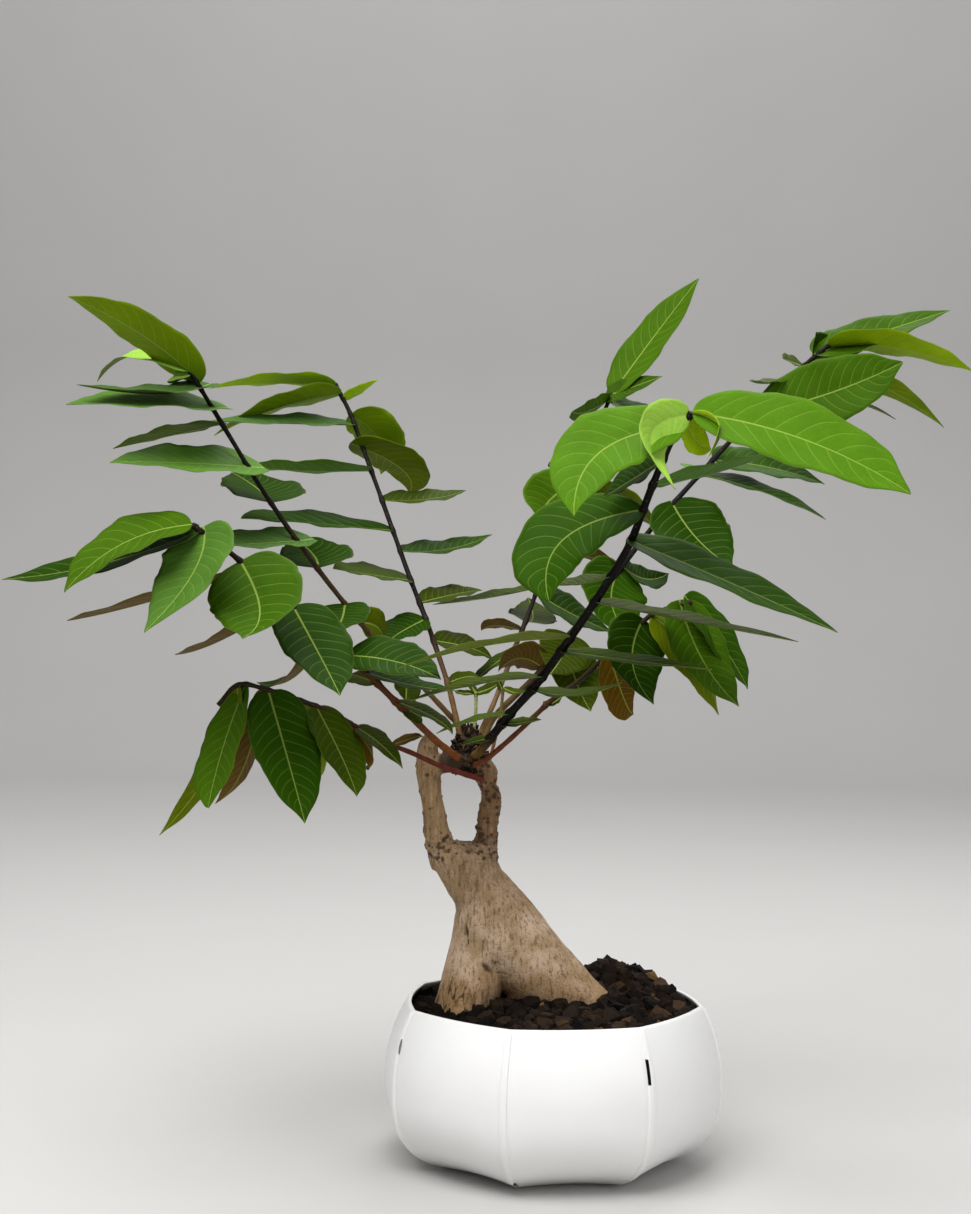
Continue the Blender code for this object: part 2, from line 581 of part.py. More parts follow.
def trunk_rings(girths, grow=0.0):
    rings = []
    for girth in girths:
        left = sight(girth.left, girth.row, girth.deep)
        right = sight(girth.right, girth.row, girth.deep)
        middle = (left + right) / 2.0
        across = (right - left).length / 2.0 + grow
        half = girth.half * MM + grow
        rings.append([middle + Vector((across * math.cos(turn), half * math.sin(turn), 0.0))
                      for turn in (2.0 * math.pi * k / TRUNK_SIDES for k in range(TRUNK_SIDES))])
    return rings


def limb_points(knots):
    return [sight(knot.x, knot.y, knot.deep) for knot in knots], [knot.radius * MM for knot in knots]


def make_caudex(sockets):
    caudex = ring_body("caudex", trunk_rings(TRUNK_LEFT))
    parts = tool_collection("caudex_parts")
    ring_body("right_flare", trunk_rings(TRUNK_RIGHT), parts)
    ring_body("back_flare", trunk_rings(TRUNK_BACK), parts)
    ring_body("middle_swell", trunk_rings(TRUNK_MIDDLE), parts)
    for knots, share in ((LEFT_LIMB, 1.0), (RIGHT_LIMB, 1.0), (CROWN_BRIDGE, CROWN_DEPTH_SHARE),
                         (CROWN_KNOB, 1.0)):
        points, radii = limb_points(knots)
        add_rod("limb", points, radii, LIMB_SIDES, parts, share)
    apply_boolean(caudex, parts, "UNION")
    apply_boolean(caudex, sockets, "DIFFERENCE")
    caudex.data.materials.clear()
    caudex.data.materials.append(finish_for("tan bark", TAN_BARK))
    shade_round(caudex, 50.0)
    return caudex


def caudex_hole():
    """The plain hole in the soil: the trunk's lower slices, a little larger."""
    things = []
    for name, girths in (("hole_left", TRUNK_LEFT), ("hole_right", TRUNK_RIGHT), ("hole_back", TRUNK_BACK),
                         ("hole_middle", TRUNK_MIDDLE)):
        rings = trunk_rings(girths, HOLE_GAP)
        for point in rings[-1]:
            point.z -= HOLE_FOOT_GAP
        things.append(ring_body(name, rings))
    return things


def smooth_path(points, steps):
    """Points on a smooth curve through the given ones, with steps between each pair."""
    full = [2.0 * points[0] - points[1]] + list(points) + [2.0 * points[-1] - points[-2]]
    path = []
    for a, b, c, d in zip(full, full[1:], full[2:], full[3:]):
        for k in range(steps):
            t = k / steps
            path.append(0.5 * (2.0 * b + (c - a) * t + (2.0 * a - 5.0 * b + 4.0 * c - d) * t * t
                               + (3.0 * b - a - 3.0 * c + d) * t ** 3))
    path.append(points[-1].copy())
    return path


def stem_path(frond, steps=1):
    return smooth_path([sight(*knot) for knot in frond.path], steps)


def stem_radii(frond, count):
    first, last = (width / 2.0 * MM for width in frond.thick)
    return [first + (last - first) * i / (count - 1) for i in range(count)]


def foot_on_stem(path, foot):
    """The point of the stem's middle line that is seen nearest to the leaf's foot."""
    best = None
    for a, b in zip(path, path[1:]):
        for k in range(9):
            point = a.lerp(b, k / 8.0)
            x, y = pixel(point)
            far = (x - foot[0]) ** 2 + (y - foot[1]) ** 2
            if best is None or far < best[0]:
                best = (far, point)
    return best[1]


def blade_share(u, at):
    """Half width of a leaf along its length, as a share of its half width where it is widest."""
    tip_power = SHARE_POWER - SHARE_POWER_FALL * (at - WIDEST_AT)
    foot_power = SHARE_FOOT * tip_power * at / (1.0 - at)
    most = at ** foot_power * (1.0 - at) ** tip_power
    return u ** foot_power * (1.0 - u) ** tip_power / most


def blade_shape(leaf, path, stem_radius):
    """The leaf's spine, through its foot, its widest place and its tip, and its way across there."""
    foot = foot_on_stem(path, leaf.foot)
    if leaf.heel > 0.0:
        foot = foot + (EYE - foot).normalized() * math.copysign(HEEL_SHIFT * stem_radius, -leaf.deep)
    tip = sight(leaf.tip[0], leaf.tip[1], foot.y / MM + leaf.deep)
    w = leaf.at
    deep = foot.y / MM + w * leaf.deep
    seen = (sight(*leaf.far, deep) - sight(*leaf.near, deep)).length / MM
    slant = math.sqrt(max(leaf.wide ** 2 - seen ** 2, 0.0))
    near = sight(*leaf.near, deep - slant / 2.0)
    far = sight(*leaf.far, deep + slant / 2.0)
    middle = (near + far) / 2.0
    half = (far - near).length / 2.0
    for _ in range(2):
        handle = (middle - foot * (1.0 - w) ** 2 - tip * w ** 2) / (2.0 * w * (1.0 - w))
        along = ((handle - foot) * (1.0 - w) + (tip - handle) * w).normalized()
        aside = (far - near).normalized()
        aside = (aside - along * aside.dot(along)).normalized()
        facing = along.cross(aside).dot(EYE - middle)
        turn = 1.0 if (facing > 0.0) != leaf.under else -1.0
        middle = (near + far) / 2.0 - along.cross(aside) * turn * half * math.sin(FOLD)
    back = leaf.heel * MM / (tip - foot).length
    phase = 0.37 * leaf.foot[0] + 0.23 * leaf.tip[1]
    return foot, handle, tip, along, aside, half, turn, back, phase, w


def blade_point(shape, u, side):
    """A point of the blade and its upward direction: u from foot to tip, side from -1 to 1."""
    foot, handle, tip, along, aside, widest, turn, back, phase, at = shape
    t = u * (1.0 + back) - back
    spine = foot * (1.0 - t) ** 2 + handle * (2.0 * t * (1.0 - t)) + tip * t ** 2
    onward = ((handle - foot) * (1.0 - t) + (tip - handle) * t).normalized()
    bend = along.rotation_difference(onward)
    across = bend @ aside
    up = onward.cross(across) * turn
    half = max(widest * blade_share(u, at), STUB_HALF_WIDTH if u == 0.0 else 0.0)
    wave = WAVE_SHARE * math.sin(2.0 * math.pi * WAVES * u + phase + 1.7 * side)
    lift = half * abs(side) * (math.sin(FOLD) + wave)
    return spine + across * (half * side * math.cos(FOLD)) + up * lift, up


def add_blade(leaf, path, stem_radius, collection):
    """One leaf as a thin closed blade with the same triangles on both faces."""
    shape = blade_shape(leaf, path, stem_radius)
    shares = BLADE_ROWS if leaf.wide > SMALL_BLADE_WIDE else SMALL_BLADE_ROWS
    bm = bmesh.new()
    sheets = []
    for half_thick in (BLADE_THICKNESS / 2.0, -BLADE_THICKNESS / 2.0):
        rows = []
        for u in shares:
            row = []
            for side in (-1.0, 0.0, 1.0) if u < 1.0 else (0.0,):
                point, up = blade_point(shape, u, side)
                row.append(bm.verts.new(point + up * half_thick))
            rows.append(row if u < 1.0 else row * 3)
        sheets.append(rows)
    for rows in sheets:
        for near, far in zip(rows, rows[1:]):
            add_triangle(bm, near[0], near[1], far[1])
            add_triangle(bm, near[0], far[1], far[0])
            add_triangle(bm, near[1], near[2], far[1])
            add_triangle(bm, near[2], far[2], far[1])
    top, bottom = sheets
    for c in (0, 2):
        for i in range(len(top) - 1):
            add_triangle(bm, top[i][c], bottom[i][c], bottom[i + 1][c])
            add_triangle(bm, top[i][c], bottom[i + 1][c], top[i + 1][c])
    for c in (0, 1):
        add_triangle(bm, top[0][c], top[0][c + 1], bottom[0][c + 1])
        add_triangle(bm, top[0][c], bottom[0][c + 1], bottom[0][c])
    return object_from(bm, "blade", collection)


def add_triangle(bm, *corners):
    """Adds a triangle, unless two of its corners are the same point."""
    if len(set(corners)) == 3 and bm.faces.get(corners) is None:
        bm.faces.new(corners)


def make_frond(frond):
    path = stem_path(frond)
    stem = add_rod(frond.name, path, stem_radii(frond, len(path)), STEM_SIDES)
    blades = tool_collection("blades")
    stem_radius = sum(frond.thick) / 4.0 * MM
    for leaf in frond.leaves:
        add_blade(leaf, path, stem_radius, blades)
    apply_boolean(stem, blades, "UNION", "MANIFOLD")
    stem.data.materials.clear()
    young = frond.name.startswith("shoot")
    stem.data.materials.append(finish_for(frond.name + " leaf", YOUNG_GREEN if young else LEAF_GREEN))
    return stem


def socket_tools():
    """Cutters for the plain holes that the stems stand in, a little wider than the stems."""
    sockets = tool_collection("sockets")
    for frond in FRONDS:
        path = stem_path(frond)
        radii = stem_radii(frond, len(path))
        outward = (path[1] - path[0]).normalized()
        reach = [path[0] - outward * HOLE_FOOT_GAP] + path[:SOCKET_KNOTS]
        wide = [radius + HOLE_GAP for radius in radii[:1] + radii[:SOCKET_KNOTS]]
        add_rod("socket", reach, wide, STEM_SIDES, sockets)
    return sockets


def main():
    clear_scene()
    make_pot()
    make_soil(caudex_hole())
    make_caudex(socket_tools())
    for frond in FRONDS:
        make_frond(frond)


main()
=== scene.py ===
import math

import bpy
import numpy as np
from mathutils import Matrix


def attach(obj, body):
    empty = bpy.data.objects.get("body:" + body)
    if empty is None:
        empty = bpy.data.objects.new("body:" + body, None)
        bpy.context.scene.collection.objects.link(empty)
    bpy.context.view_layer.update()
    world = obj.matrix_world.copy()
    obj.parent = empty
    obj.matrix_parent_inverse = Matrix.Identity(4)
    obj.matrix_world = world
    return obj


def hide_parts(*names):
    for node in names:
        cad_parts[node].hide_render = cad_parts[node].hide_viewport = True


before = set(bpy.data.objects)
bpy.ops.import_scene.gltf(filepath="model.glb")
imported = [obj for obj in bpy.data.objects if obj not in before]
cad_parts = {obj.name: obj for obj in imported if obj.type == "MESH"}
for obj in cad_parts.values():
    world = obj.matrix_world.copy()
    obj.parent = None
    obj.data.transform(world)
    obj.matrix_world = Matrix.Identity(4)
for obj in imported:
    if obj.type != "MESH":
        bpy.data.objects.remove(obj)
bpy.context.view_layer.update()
mm = 0.001


# small tools
def hexColour(text):  # an sRGB hex colour as linear red, green, blue, alpha
    parts = [int(text[i:i + 2], 16) / 255.0 for i in (1, 3, 5)]
    return tuple(p / 12.92 if p <= 0.04045 else ((p + 0.055) / 1.055) ** 2.4 for p in parts) + (1.0,)


def unit(vectors):
    return vectors / np.maximum(np.linalg.norm(vectors, axis=-1, keepdims=True), 1e-12)


def smoothStep(low, high, values):
    share = np.clip((values - low) / (high - low), 0.0, 1.0)
    return share * share * (3.0 - 2.0 * share)


def gridFaces(rows, columns, closed=False):
    # quads between neighbouring rows and columns of a grid; closed joins the last column to the first
    r = np.arange(rows - 1)[:, None] * columns
    c = np.arange(columns if closed else columns - 1)[None, :]
    onward = (c + 1) % columns
    return np.stack([r + c, r + onward, r + columns + onward, r + columns + c], -1).reshape(-1, 4)


def latticeNoise(points, cell, seed):
    # smooth noise from -1 to 1: random values at the corners of a lattice of the given cell (in
    # millimetres, one size or one for each axis), blended across each cell with the curve 3t^2 - 2t^3
    place = points / (np.asarray(cell) * mm) + 1000.0
    base = np.floor(place).astype(np.int64)
    part = place - base
    part = part * part * (3.0 - 2.0 * part)
    total = np.zeros(len(points))
    for corner in range(8):
        step = np.array([corner & 1, corner >> 1 & 1, corner >> 2 & 1])
        spot = (base + step) * np.array([73856093, 19349663, 83492791]) + seed * 15485863
        mixed = (spot[:, 0] ^ spot[:, 1] ^ spot[:, 2]) & 0x7FFFFFFF
        mixed = (mixed ^ (mixed >> 13)) * 1274126177 & 0x7FFFFFFF
        value = (mixed ^ (mixed >> 16)) % 65536 / 32768.0 - 1.0
        total += value * np.prod(np.where(step, part, 1.0 - part), axis=1)
    return total


def meshPiece(name, points, faceSets, materials, uv=None, colours=None, slots=None, smooth=True):
    # one object at the origin from arrays of points and of quads or triangles
    corners = np.concatenate([faces.ravel() for faces in faceSets])
    sizes = np.concatenate([np.full(len(faces), faces.shape[1]) for faces in faceSets])
    mesh = bpy.data.meshes.new(name)
    mesh.vertices.add(len(points))
    mesh.vertices.foreach_set("co", np.ascontiguousarray(points, dtype=np.float32).ravel())
    mesh.loops.add(len(corners))
    mesh.loops.foreach_set("vertex_index", corners.astype(np.int32))
    mesh.polygons.add(len(sizes))
    mesh.polygons.foreach_set("loop_start", np.concatenate([[0], np.cumsum(sizes)[:-1]]).astype(np.int32))
    mesh.update(calc_edges=True)
    if uv is not None:
        layer = mesh.uv_layers.new(name="UVMap")
        layer.data.foreach_set("uv", uv[corners].astype(np.float32).ravel())
    for key, values in (colours or {}).items():
        paintPoints(mesh, key, values)
    for material in materials:
        mesh.materials.append(material)
    if slots is not None:
        mesh.polygons.foreach_set("material_index", slots.astype(np.int32))
    mesh.polygons.foreach_set("use_smooth", np.full(len(sizes), smooth))
    piece = bpy.data.objects.new(name, mesh)
    bpy.context.scene.collection.objects.link(piece)
    return piece


def paintPoints(mesh, name, values):  # four numbers for each point, for a material to read
    data = mesh.attributes.new(name, "FLOAT_COLOR", "POINT")
    data.data.foreach_set("color", values.astype(np.float32).ravel())


def bakeModifiers(piece):  # turns a piece's live modifiers into its mesh
    seen = piece.evaluated_get(bpy.context.evaluated_depsgraph_get())
    mesh = bpy.data.meshes.new_from_object(seen)
    piece.modifiers.clear()
    piece.data = mesh


def readPoints(source, field):
    values = np.zeros(len(source) * 3, dtype=np.float32)
    source.foreach_get(field, values)
    return values.reshape(-1, 3).astype(float)


def scatter(points, faces, material, name, tint):
    # one flat-shaded piece from many copies of a shape: points for each copy, the shape's own faces
    count, corners = points.shape[:2]
    allFaces = (faces[None] + (np.arange(count) * corners)[:, None, None]).reshape(-1, faces.shape[1])
    piece = meshPiece(name, points.reshape(-1, 3), [allFaces], [material],
                      colours={"tint": np.repeat(tint, corners, axis=0)}, smooth=False)
    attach(piece, "root")
    print(name + ":", count)
    return piece


# the photograph's view: every leaf and stem is placed where it is seen, at a chosen depth
view = {
    "eye": (-31.5 * mm, -850.0 * mm, 244.4 * mm),
    "centre": (485.5, 607.0),    # pixels
    "focus": 1904.0,             # pixels
    "width": 971.0,              # pixels
    "rollDegrees": 0.7,
}
eye = np.array(view["eye"])
rollCos = math.cos(math.radians(view["rollDegrees"]))
rollSin = math.sin(math.radians(view["rollDegrees"]))


def sight(x, y, deep):
    # the point seen at pixel (x, y), deep millimetres behind the pot's axis
    across = (np.asarray(x, float) - view["centre"][0]) / view["focus"]
    up = (view["centre"][1] - np.asarray(y, float)) / view["focus"]
    reach = np.asarray(deep, float) * mm - eye[1]
    ray = np.stack(np.broadcast_arrays(across * rollCos - up * rollSin, 1.0,
                                       across * rollSin + up * rollCos), -1)
    return eye + ray * reach[..., None]


def pixelOf(points):
    # the pixel where each point is seen
    reach = points[..., 1] - eye[1]
    across = (points[..., 0] - eye[0]) / reach
    up = (points[..., 2] - eye[2]) / reach
    return np.stack([view["centre"][0] + (across * rollCos + up * rollSin) * view["focus"],
                     view["centre"][1] - (up * rollCos - across * rollSin) * view["focus"]], -1)


def smoothPath(knots, steps):
    # a cubic through each pair of knots that leaves and arrives along the chords of its neighbours
    full = np.vstack([2.0 * knots[0] - knots[1], knots, 2.0 * knots[-1] - knots[-2]])
    a, b, c, d = (k[:, None, :] for k in (full[:-3], full[1:-2], full[2:-1], full[3:]))
    t = (np.arange(steps) / steps)[None, :, None]
    curve = 0.5 * (2.0 * b + (c - a) * t + (2.0 * a - 5.0 * b + 4.0 * c - d) * t * t
                   + (3.0 * b - a - 3.0 * c + d) * t ** 3)
    return np.vstack([curve.reshape(-1, knots.shape[1]), knots[-1]])


def closedRings(rings):
    # quads between rings, and a fan of triangles from the middle of the first and of the last ring
    count, sides = rings.shape[:2]
    points = np.vstack([rings.reshape(-1, 3), rings[0].mean(0), rings[-1].mean(0)])
    k = np.arange(sides)
    onward = (k + 1) % sides
    first = np.stack([np.full(sides, count * sides), onward, k], -1)
    top = (count - 1) * sides
    last = np.stack([np.full(sides, count * sides + 1), top + k, top + onward], -1)
    return points, gridFaces(count, sides, closed=True), np.vstack([first, last])


def tube(path, radii, sides, depthShare=1.0):
    # rings square to a path, each a circle of its own radius, and a fan over each end
    along = unit(np.gradient(path, axis=0))
    side = unit(np.cross(along, [0.0, 1.0, 0.0]))
    back = unit(np.cross(side, along)) * depthShare
    turn = (2.0 * math.pi * np.arange(sides) / sides)[None, :, None]
    circle = side[:, None, :] * np.cos(turn) + back[:, None, :] * np.sin(turn)
    return closedRings(path[:, None, :] + radii[:, None, None] * circle)


# the pot: a barrel with seven ribs, flattened between them
potPlan = {
    "height": 70.0 * mm,
    "widest": 75.9 * mm,
    "widestAt": 38.0 * mm,
    "lowerHalf": 42.7 * mm,
    "lowerOrder": 3.0,
    "upperHalf": 70.0 * mm,
    "wall": 2.2 * mm,
    "floor": 3.0 * mm,
    "ribDegrees": (-64.8, -16.8, 31.8, 79.6, 132.5, 186.0, 240.5),    # from the front round by the right
    "ribHalf": 1.3 * mm,
    "ribEdge": 0.4 * mm,
    "ribRelief": 0.55 * mm,
    "grooveDepth": 0.40 * mm,
    "grooveHalf": 0.35 * mm,
    "ribFade": (6.0 * mm, 1.2 * mm),       # the ribs end over this at the foot and at the lip
    "innerShadeFrom": (1.0 * mm, 1.8 * mm),    # painted shade: the inner wall darkens to near black over this below the lip
    "flatFoot": 1.55,
    "flatBarrel": 0.25,
    "flatRim": 0.22,
    "edgeRadius": 0.9 * mm,
    # cuts beside ribs: rib, offset to its right, height, then width, depth and height of the cutter,
    # and whether the cut's faces are painted near black as shade: a vent slit, a blind one, and a notch
    # at the foot
    "cuts": ((2, -1.1 * mm, 53.0 * mm, (1.0 * mm, 12.0 * mm, 9.8 * mm), True),
             (0, 1.6 * mm, 55.2 * mm, (0.5 * mm, 0.9 * mm, 9.8 * mm), False),
             (1, 1.3 * mm, 3.6 * mm, (1.0 * mm, 5.0 * mm, 2.6 * mm), False)),
    "drains": (5, 3.0 * mm, 27.0 * mm),    # count, radius, radius of their ring
    "smoothUnder": 50.0,                   # degrees between faces that are shaded as one surface
    "columnsEachLobe": 56,
    "crowding": 0.93,                      # how far the columns crowd at the ribs, up to 1
    "wallRows": (70, 30),                  # outside and inside
}


def ribTurns():  # the ribs' angles, and the first one again a full turn on
    degrees = potPlan["ribDegrees"]
    return np.radians(degrees + (degrees[0] + 360.0,))


def potRadius(angle, height):
    # barrel: two superellipses that meet at the widest height; between two ribs the radius follows a
    # share, flatness, of the way to the straight chord from rib to rib; angles run from the front
    p = potPlan
    low = height < p["widestAt"]
    shareLow = np.clip((p["widestAt"] - height) / p["lowerHalf"], 0.0, 1.0)
    shareUp = np.clip((height - p["widestAt"]) / p["upperHalf"], 0.0, 1.0)
    rise = (height - p["widestAt"]) / (p["height"] - p["widestAt"])
    order = p["lowerOrder"]
    barrel = np.where(low, (1.0 - shareLow ** order) ** (1.0 / order), np.sqrt(1.0 - shareUp ** 2))
    drop = np.clip(1.0 - height / p["widestAt"], 0.0, 1.0) ** 2.5
    flatness = p["flatBarrel"] + np.where(low, p["flatFoot"] * drop, p["flatRim"] * rise * rise)
    ribs = ribTurns()
    angle = (angle - ribs[0]) % (2.0 * math.pi) + ribs[0]
    after = np.clip(np.searchsorted(ribs, angle, side="right"), 1, len(ribs) - 1)
    half = (ribs[after] - ribs[after - 1]) / 2.0
    offRib = np.minimum(angle - ribs[after - 1], ribs[after] - angle)
    chord = np.cos(half) / np.cos(half - offRib)
    return p["widest"] * barrel * (1.0 - flatness * (1.0 - chord)), offRib


def potRings():
    # rows of points round the pot, from the middle of the underside out, up, over the lip and down to
    # the middle of the inner floor; each row has a height, an inset from the outer wall and a share of
    # the radius. Ribs stand out by a smooth band with a bell-shaped groove on either side
    p = potPlan
    lobe = np.linspace(0.0, 1.0, p["columnsEachLobe"], endpoint=False)
    lobe = lobe - p["crowding"] * np.sin(2.0 * math.pi * lobe) / (2.0 * math.pi)
    ribs = ribTurns()
    angle = (ribs[:-1, None] + lobe[None, :] * np.diff(ribs)[:, None]).ravel()
    edge = p["edgeRadius"]
    arc = np.linspace(0.0, math.pi / 2.0, 5)
    outer = np.linspace(2.0 * edge, p["height"] - edge, p["wallRows"][0])
    inner = np.linspace(p["height"] - edge, p["floor"] + edge, p["wallRows"][1])
    rows = [(0.0, 2.0 * edge, share) for share in (0.02, 0.35, 0.7, 0.93)]
    rows += [(2.0 * edge * (1.0 - math.sin(a)), 2.0 * edge * (1.0 - math.cos(a)), 1.0)
             for a in arc[:0:-1]]
    rows += [(h, 0.0, 1.0) for h in outer]
    rows += [(p["height"] - edge + edge * math.sin(a), edge * (1.0 - math.cos(a)), 1.0) for a in arc[1:]]
    rows += [(p["height"] - edge + edge * math.cos(a), p["wall"] - edge * (1.0 - math.sin(a)), 1.0)
             for a in arc[1:]]
    rows += [(h, p["wall"], 1.0) for h in inner[1:]]
    rows += [(p["floor"], p["wall"] + edge, share) for share in (0.97, 0.6, 0.3, 0.02)]
    height, inset, share = (np.array(column)[:, None] for column in zip(*rows))
    radius, offRib = potRadius(angle[None, :], np.maximum(height, 0.0))
    off = offRib * p["widest"]
    outside = (inset < p["wall"] / 2.0) & (share == 1.0)
    band = smoothStep(p["ribHalf"] + p["ribEdge"], p["ribHalf"], off)
    groove = np.exp(-((off - p["ribHalf"] - 1.7 * p["ribEdge"]) / p["grooveHalf"]) ** 2)
    footFade, lipFade = p["ribFade"]
    fade = smoothStep(0.0, footFade, height) * smoothStep(0.0, lipFade, p["height"] - height)
    relief = outside * fade * (band * p["ribRelief"] - groove * p["grooveDepth"])
    radius = (radius - inset) * share + relief
    rings = np.stack([radius * np.sin(angle), -radius * np.cos(angle), height + 0.0 * radius], -1)
    inside = (inset >= p["wall"] / 2.0) & (height > p["floor"] + edge)
    # painted shade: the white inner wall turns near black below the lip, where it lies in shade
    paintedShade = smoothStep(*p["innerShadeFrom"], p["height"] - height) * inside
    return rings, np.concatenate([np.repeat(paintedShade, len(angle)), [0.0, 0.0]])


def makePot(material, slitShadeMaterial):
    # the rings' skin, from which boxes cut the slits and the notch and tubes cut the drain holes
    p = potPlan
    rings, soilMark = potRings()
    points, quads, caps = closedRings(rings)
    pot = meshPiece("potShell", points, [quads, caps], [material],
                    colours={"soilMark": np.repeat(soilMark[:, None], 4, axis=1)})
    sides = np.array([[3, 2, 1, 0], [4, 5, 6, 7], [0, 1, 5, 4], [1, 2, 6, 5], [2, 3, 7, 6], [3, 0, 4, 7]])
    flat = ((-0.5, -0.5), (0.5, -0.5), (0.5, 0.5), (-0.5, 0.5))
    corner = np.array([(x, y, z) for z in (-0.5, 0.5) for x, y in flat])
    tools = []
    for rib, beside, at, size, paintedShade in p["cuts"]:
        turn = ribTurns()[rib] + beside / p["widest"]
        far = float(potRadius(np.array(turn), np.array(at))[0])
        x, y, z = (corner * size - [0.0, far, -at]).T
        box = np.stack([x * math.cos(turn) - y * math.sin(turn),
                        x * math.sin(turn) + y * math.cos(turn), z], -1)
        # a cutter marked for painted shade carries the near-black fines onto the faces it cuts
        tools.append(meshPiece("cutTool", box, [sides], [slitShadeMaterial if paintedShade else material]))
    count, drainRadius, ringRadius = p["drains"]
    for around in 2.0 * math.pi * np.arange(count) / count:
        foot = np.array([math.sin(around), math.cos(around), 0.0]) * ringRadius
        path = foot + np.array([[0.0, 0.0, -5.0 * mm], [0.0, 0.0, 10.0 * mm]])
        drain, drainQuads, drainCaps = tube(path, np.full(2, drainRadius), 32)
        tools.append(meshPiece("drainTool", drain, [drainQuads, drainCaps], [material]))
    cuts = bpy.data.collections.new("potCuts")
    bpy.context.scene.collection.children.link(cuts)
    for tool in tools:
        bpy.context.scene.collection.objects.unlink(tool)
        cuts.objects.link(tool)
    cut = pot.modifiers.new("cut", "BOOLEAN")
    cut.operand_type = "COLLECTION"
    cut.collection = cuts
    cut.operation = "DIFFERENCE"
    cut.solver = "EXACT"
    cut.material_mode = "TRANSFER"    # the vent slit's own faces take the near-black fines, as painted shade inside the slit
    bakeModifiers(pot)
    for tool in tools:
        bpy.data.objects.remove(tool)
    bpy.data.collections.remove(cuts)
    pot.data.set_sharp_from_angle(angle=math.radians(p["smoothUnder"]))
    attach(pot, "root")
    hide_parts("pot")
    print("pot shell:", len(pot.data.polygons), "faces")


# the soil: crushed lava grains over the solid that fills the pot
soilPlan = {
    "level": 64.0 * mm,
    "leftDrop": 2.5 * mm,
    # mounds, behind the trunk, round its foot and at the back left: height, x, y, spread
    "mounds": ((10.5 * mm, 28.0 * mm, 40.0 * mm, 17.0 * mm), (4.5 * mm, -8.0 * mm, -8.0 * mm, 24.0 * mm),
               (4.5 * mm, -36.0 * mm, 44.0 * mm, 22.0 * mm)),
    "grains": 2600,
    "grainSize": (2.8 * mm, 8.4 * mm),    # across
    "sizeMix": (1.5, 2.2),                # the beta curve of sizes between them
    "roundness": 0.5,                     # 0 is a cube, 1 a ball
    "shaken": 0.22,                       # how far a grain's points move, as a share of its size
    "squash": (0.84, 1.12),
    "spacing": 0.40,                      # from grain to large grain, as a share of their sizes' sum
    "brim": (66.2 * mm, 1.5 * mm),        # the most at the wall, and how much more at the right
    "roomLevel": 66.0 * mm,               # above this the wall leaves no more room
    "wallGap": 0.56,                      # from a grain's middle to the wall, in its sizes
    "sunk": ((0.02, 0.32), (-0.60, -0.10)),    # how high large and small grains lie, in their sizes
    "smallShade": 0.45,                   # painted shade of the gaps: small grains between the large ones keep this share of their tint
    "brimFrom": 0.86,                     # share of the pot's inner radius where the brim starts
    "leftShadeSpan": (-58.0 * mm, -8.0 * mm),  # painted shade of the trunk and wall on the left, fading out from here to the right
    "leftShadeShare": 0.22,
    "tintRange": (0.40, 1.35),
    "seed": 11,
    "colours": ("#271e17", "#1c1511", "#30241a", "#3e2e20", "#120e0c", "#5a452b", "#77603a"),
    "shares": (0.30, 0.29, 0.18, 0.10, 0.09, 0.03, 0.01),
}


def soilHeight(x, y):
    # level with a drop to the left, and bell-shaped mounds
    level = soilPlan["level"] + soilPlan["leftDrop"] * x / potPlan["widest"]
    for height, moundX, moundY, spread in soilPlan["mounds"]:
        level = level + height * np.exp(-((x - moundX) ** 2 + (y - moundY) ** 2) / (2.0 * spread ** 2))
    return level


def grainShape():
    # a cube's surface of 3 x 3 points a side, drawn part of the way to a ball: 26 points, 48 triangles
    three = (-1, 0, 1)
    spots = [(x, y, z) for x in three for y in three for z in three if (x, y, z) != (0, 0, 0)]
    faces = []
    for axis in range(3):
        for face in (-1, 1):
            for i, j in ((-1, -1), (-1, 0), (0, -1), (0, 0)):
                square = []
                for a, b in ((i, j), (i + 1, j), (i + 1, j + 1), (i, j + 1)):
                    spot = np.roll((face, a, b), axis)
                    square.append(spots.index(tuple(spot)))
                square = square[::face]
                faces += [square[:3], [square[0], square[2], square[3]]]
    points = np.array(spots, float)
    share = soilPlan["roundness"]
    return share * unit(points) * 1.15 + (1.0 - share) * points * 0.85, np.array(faces)


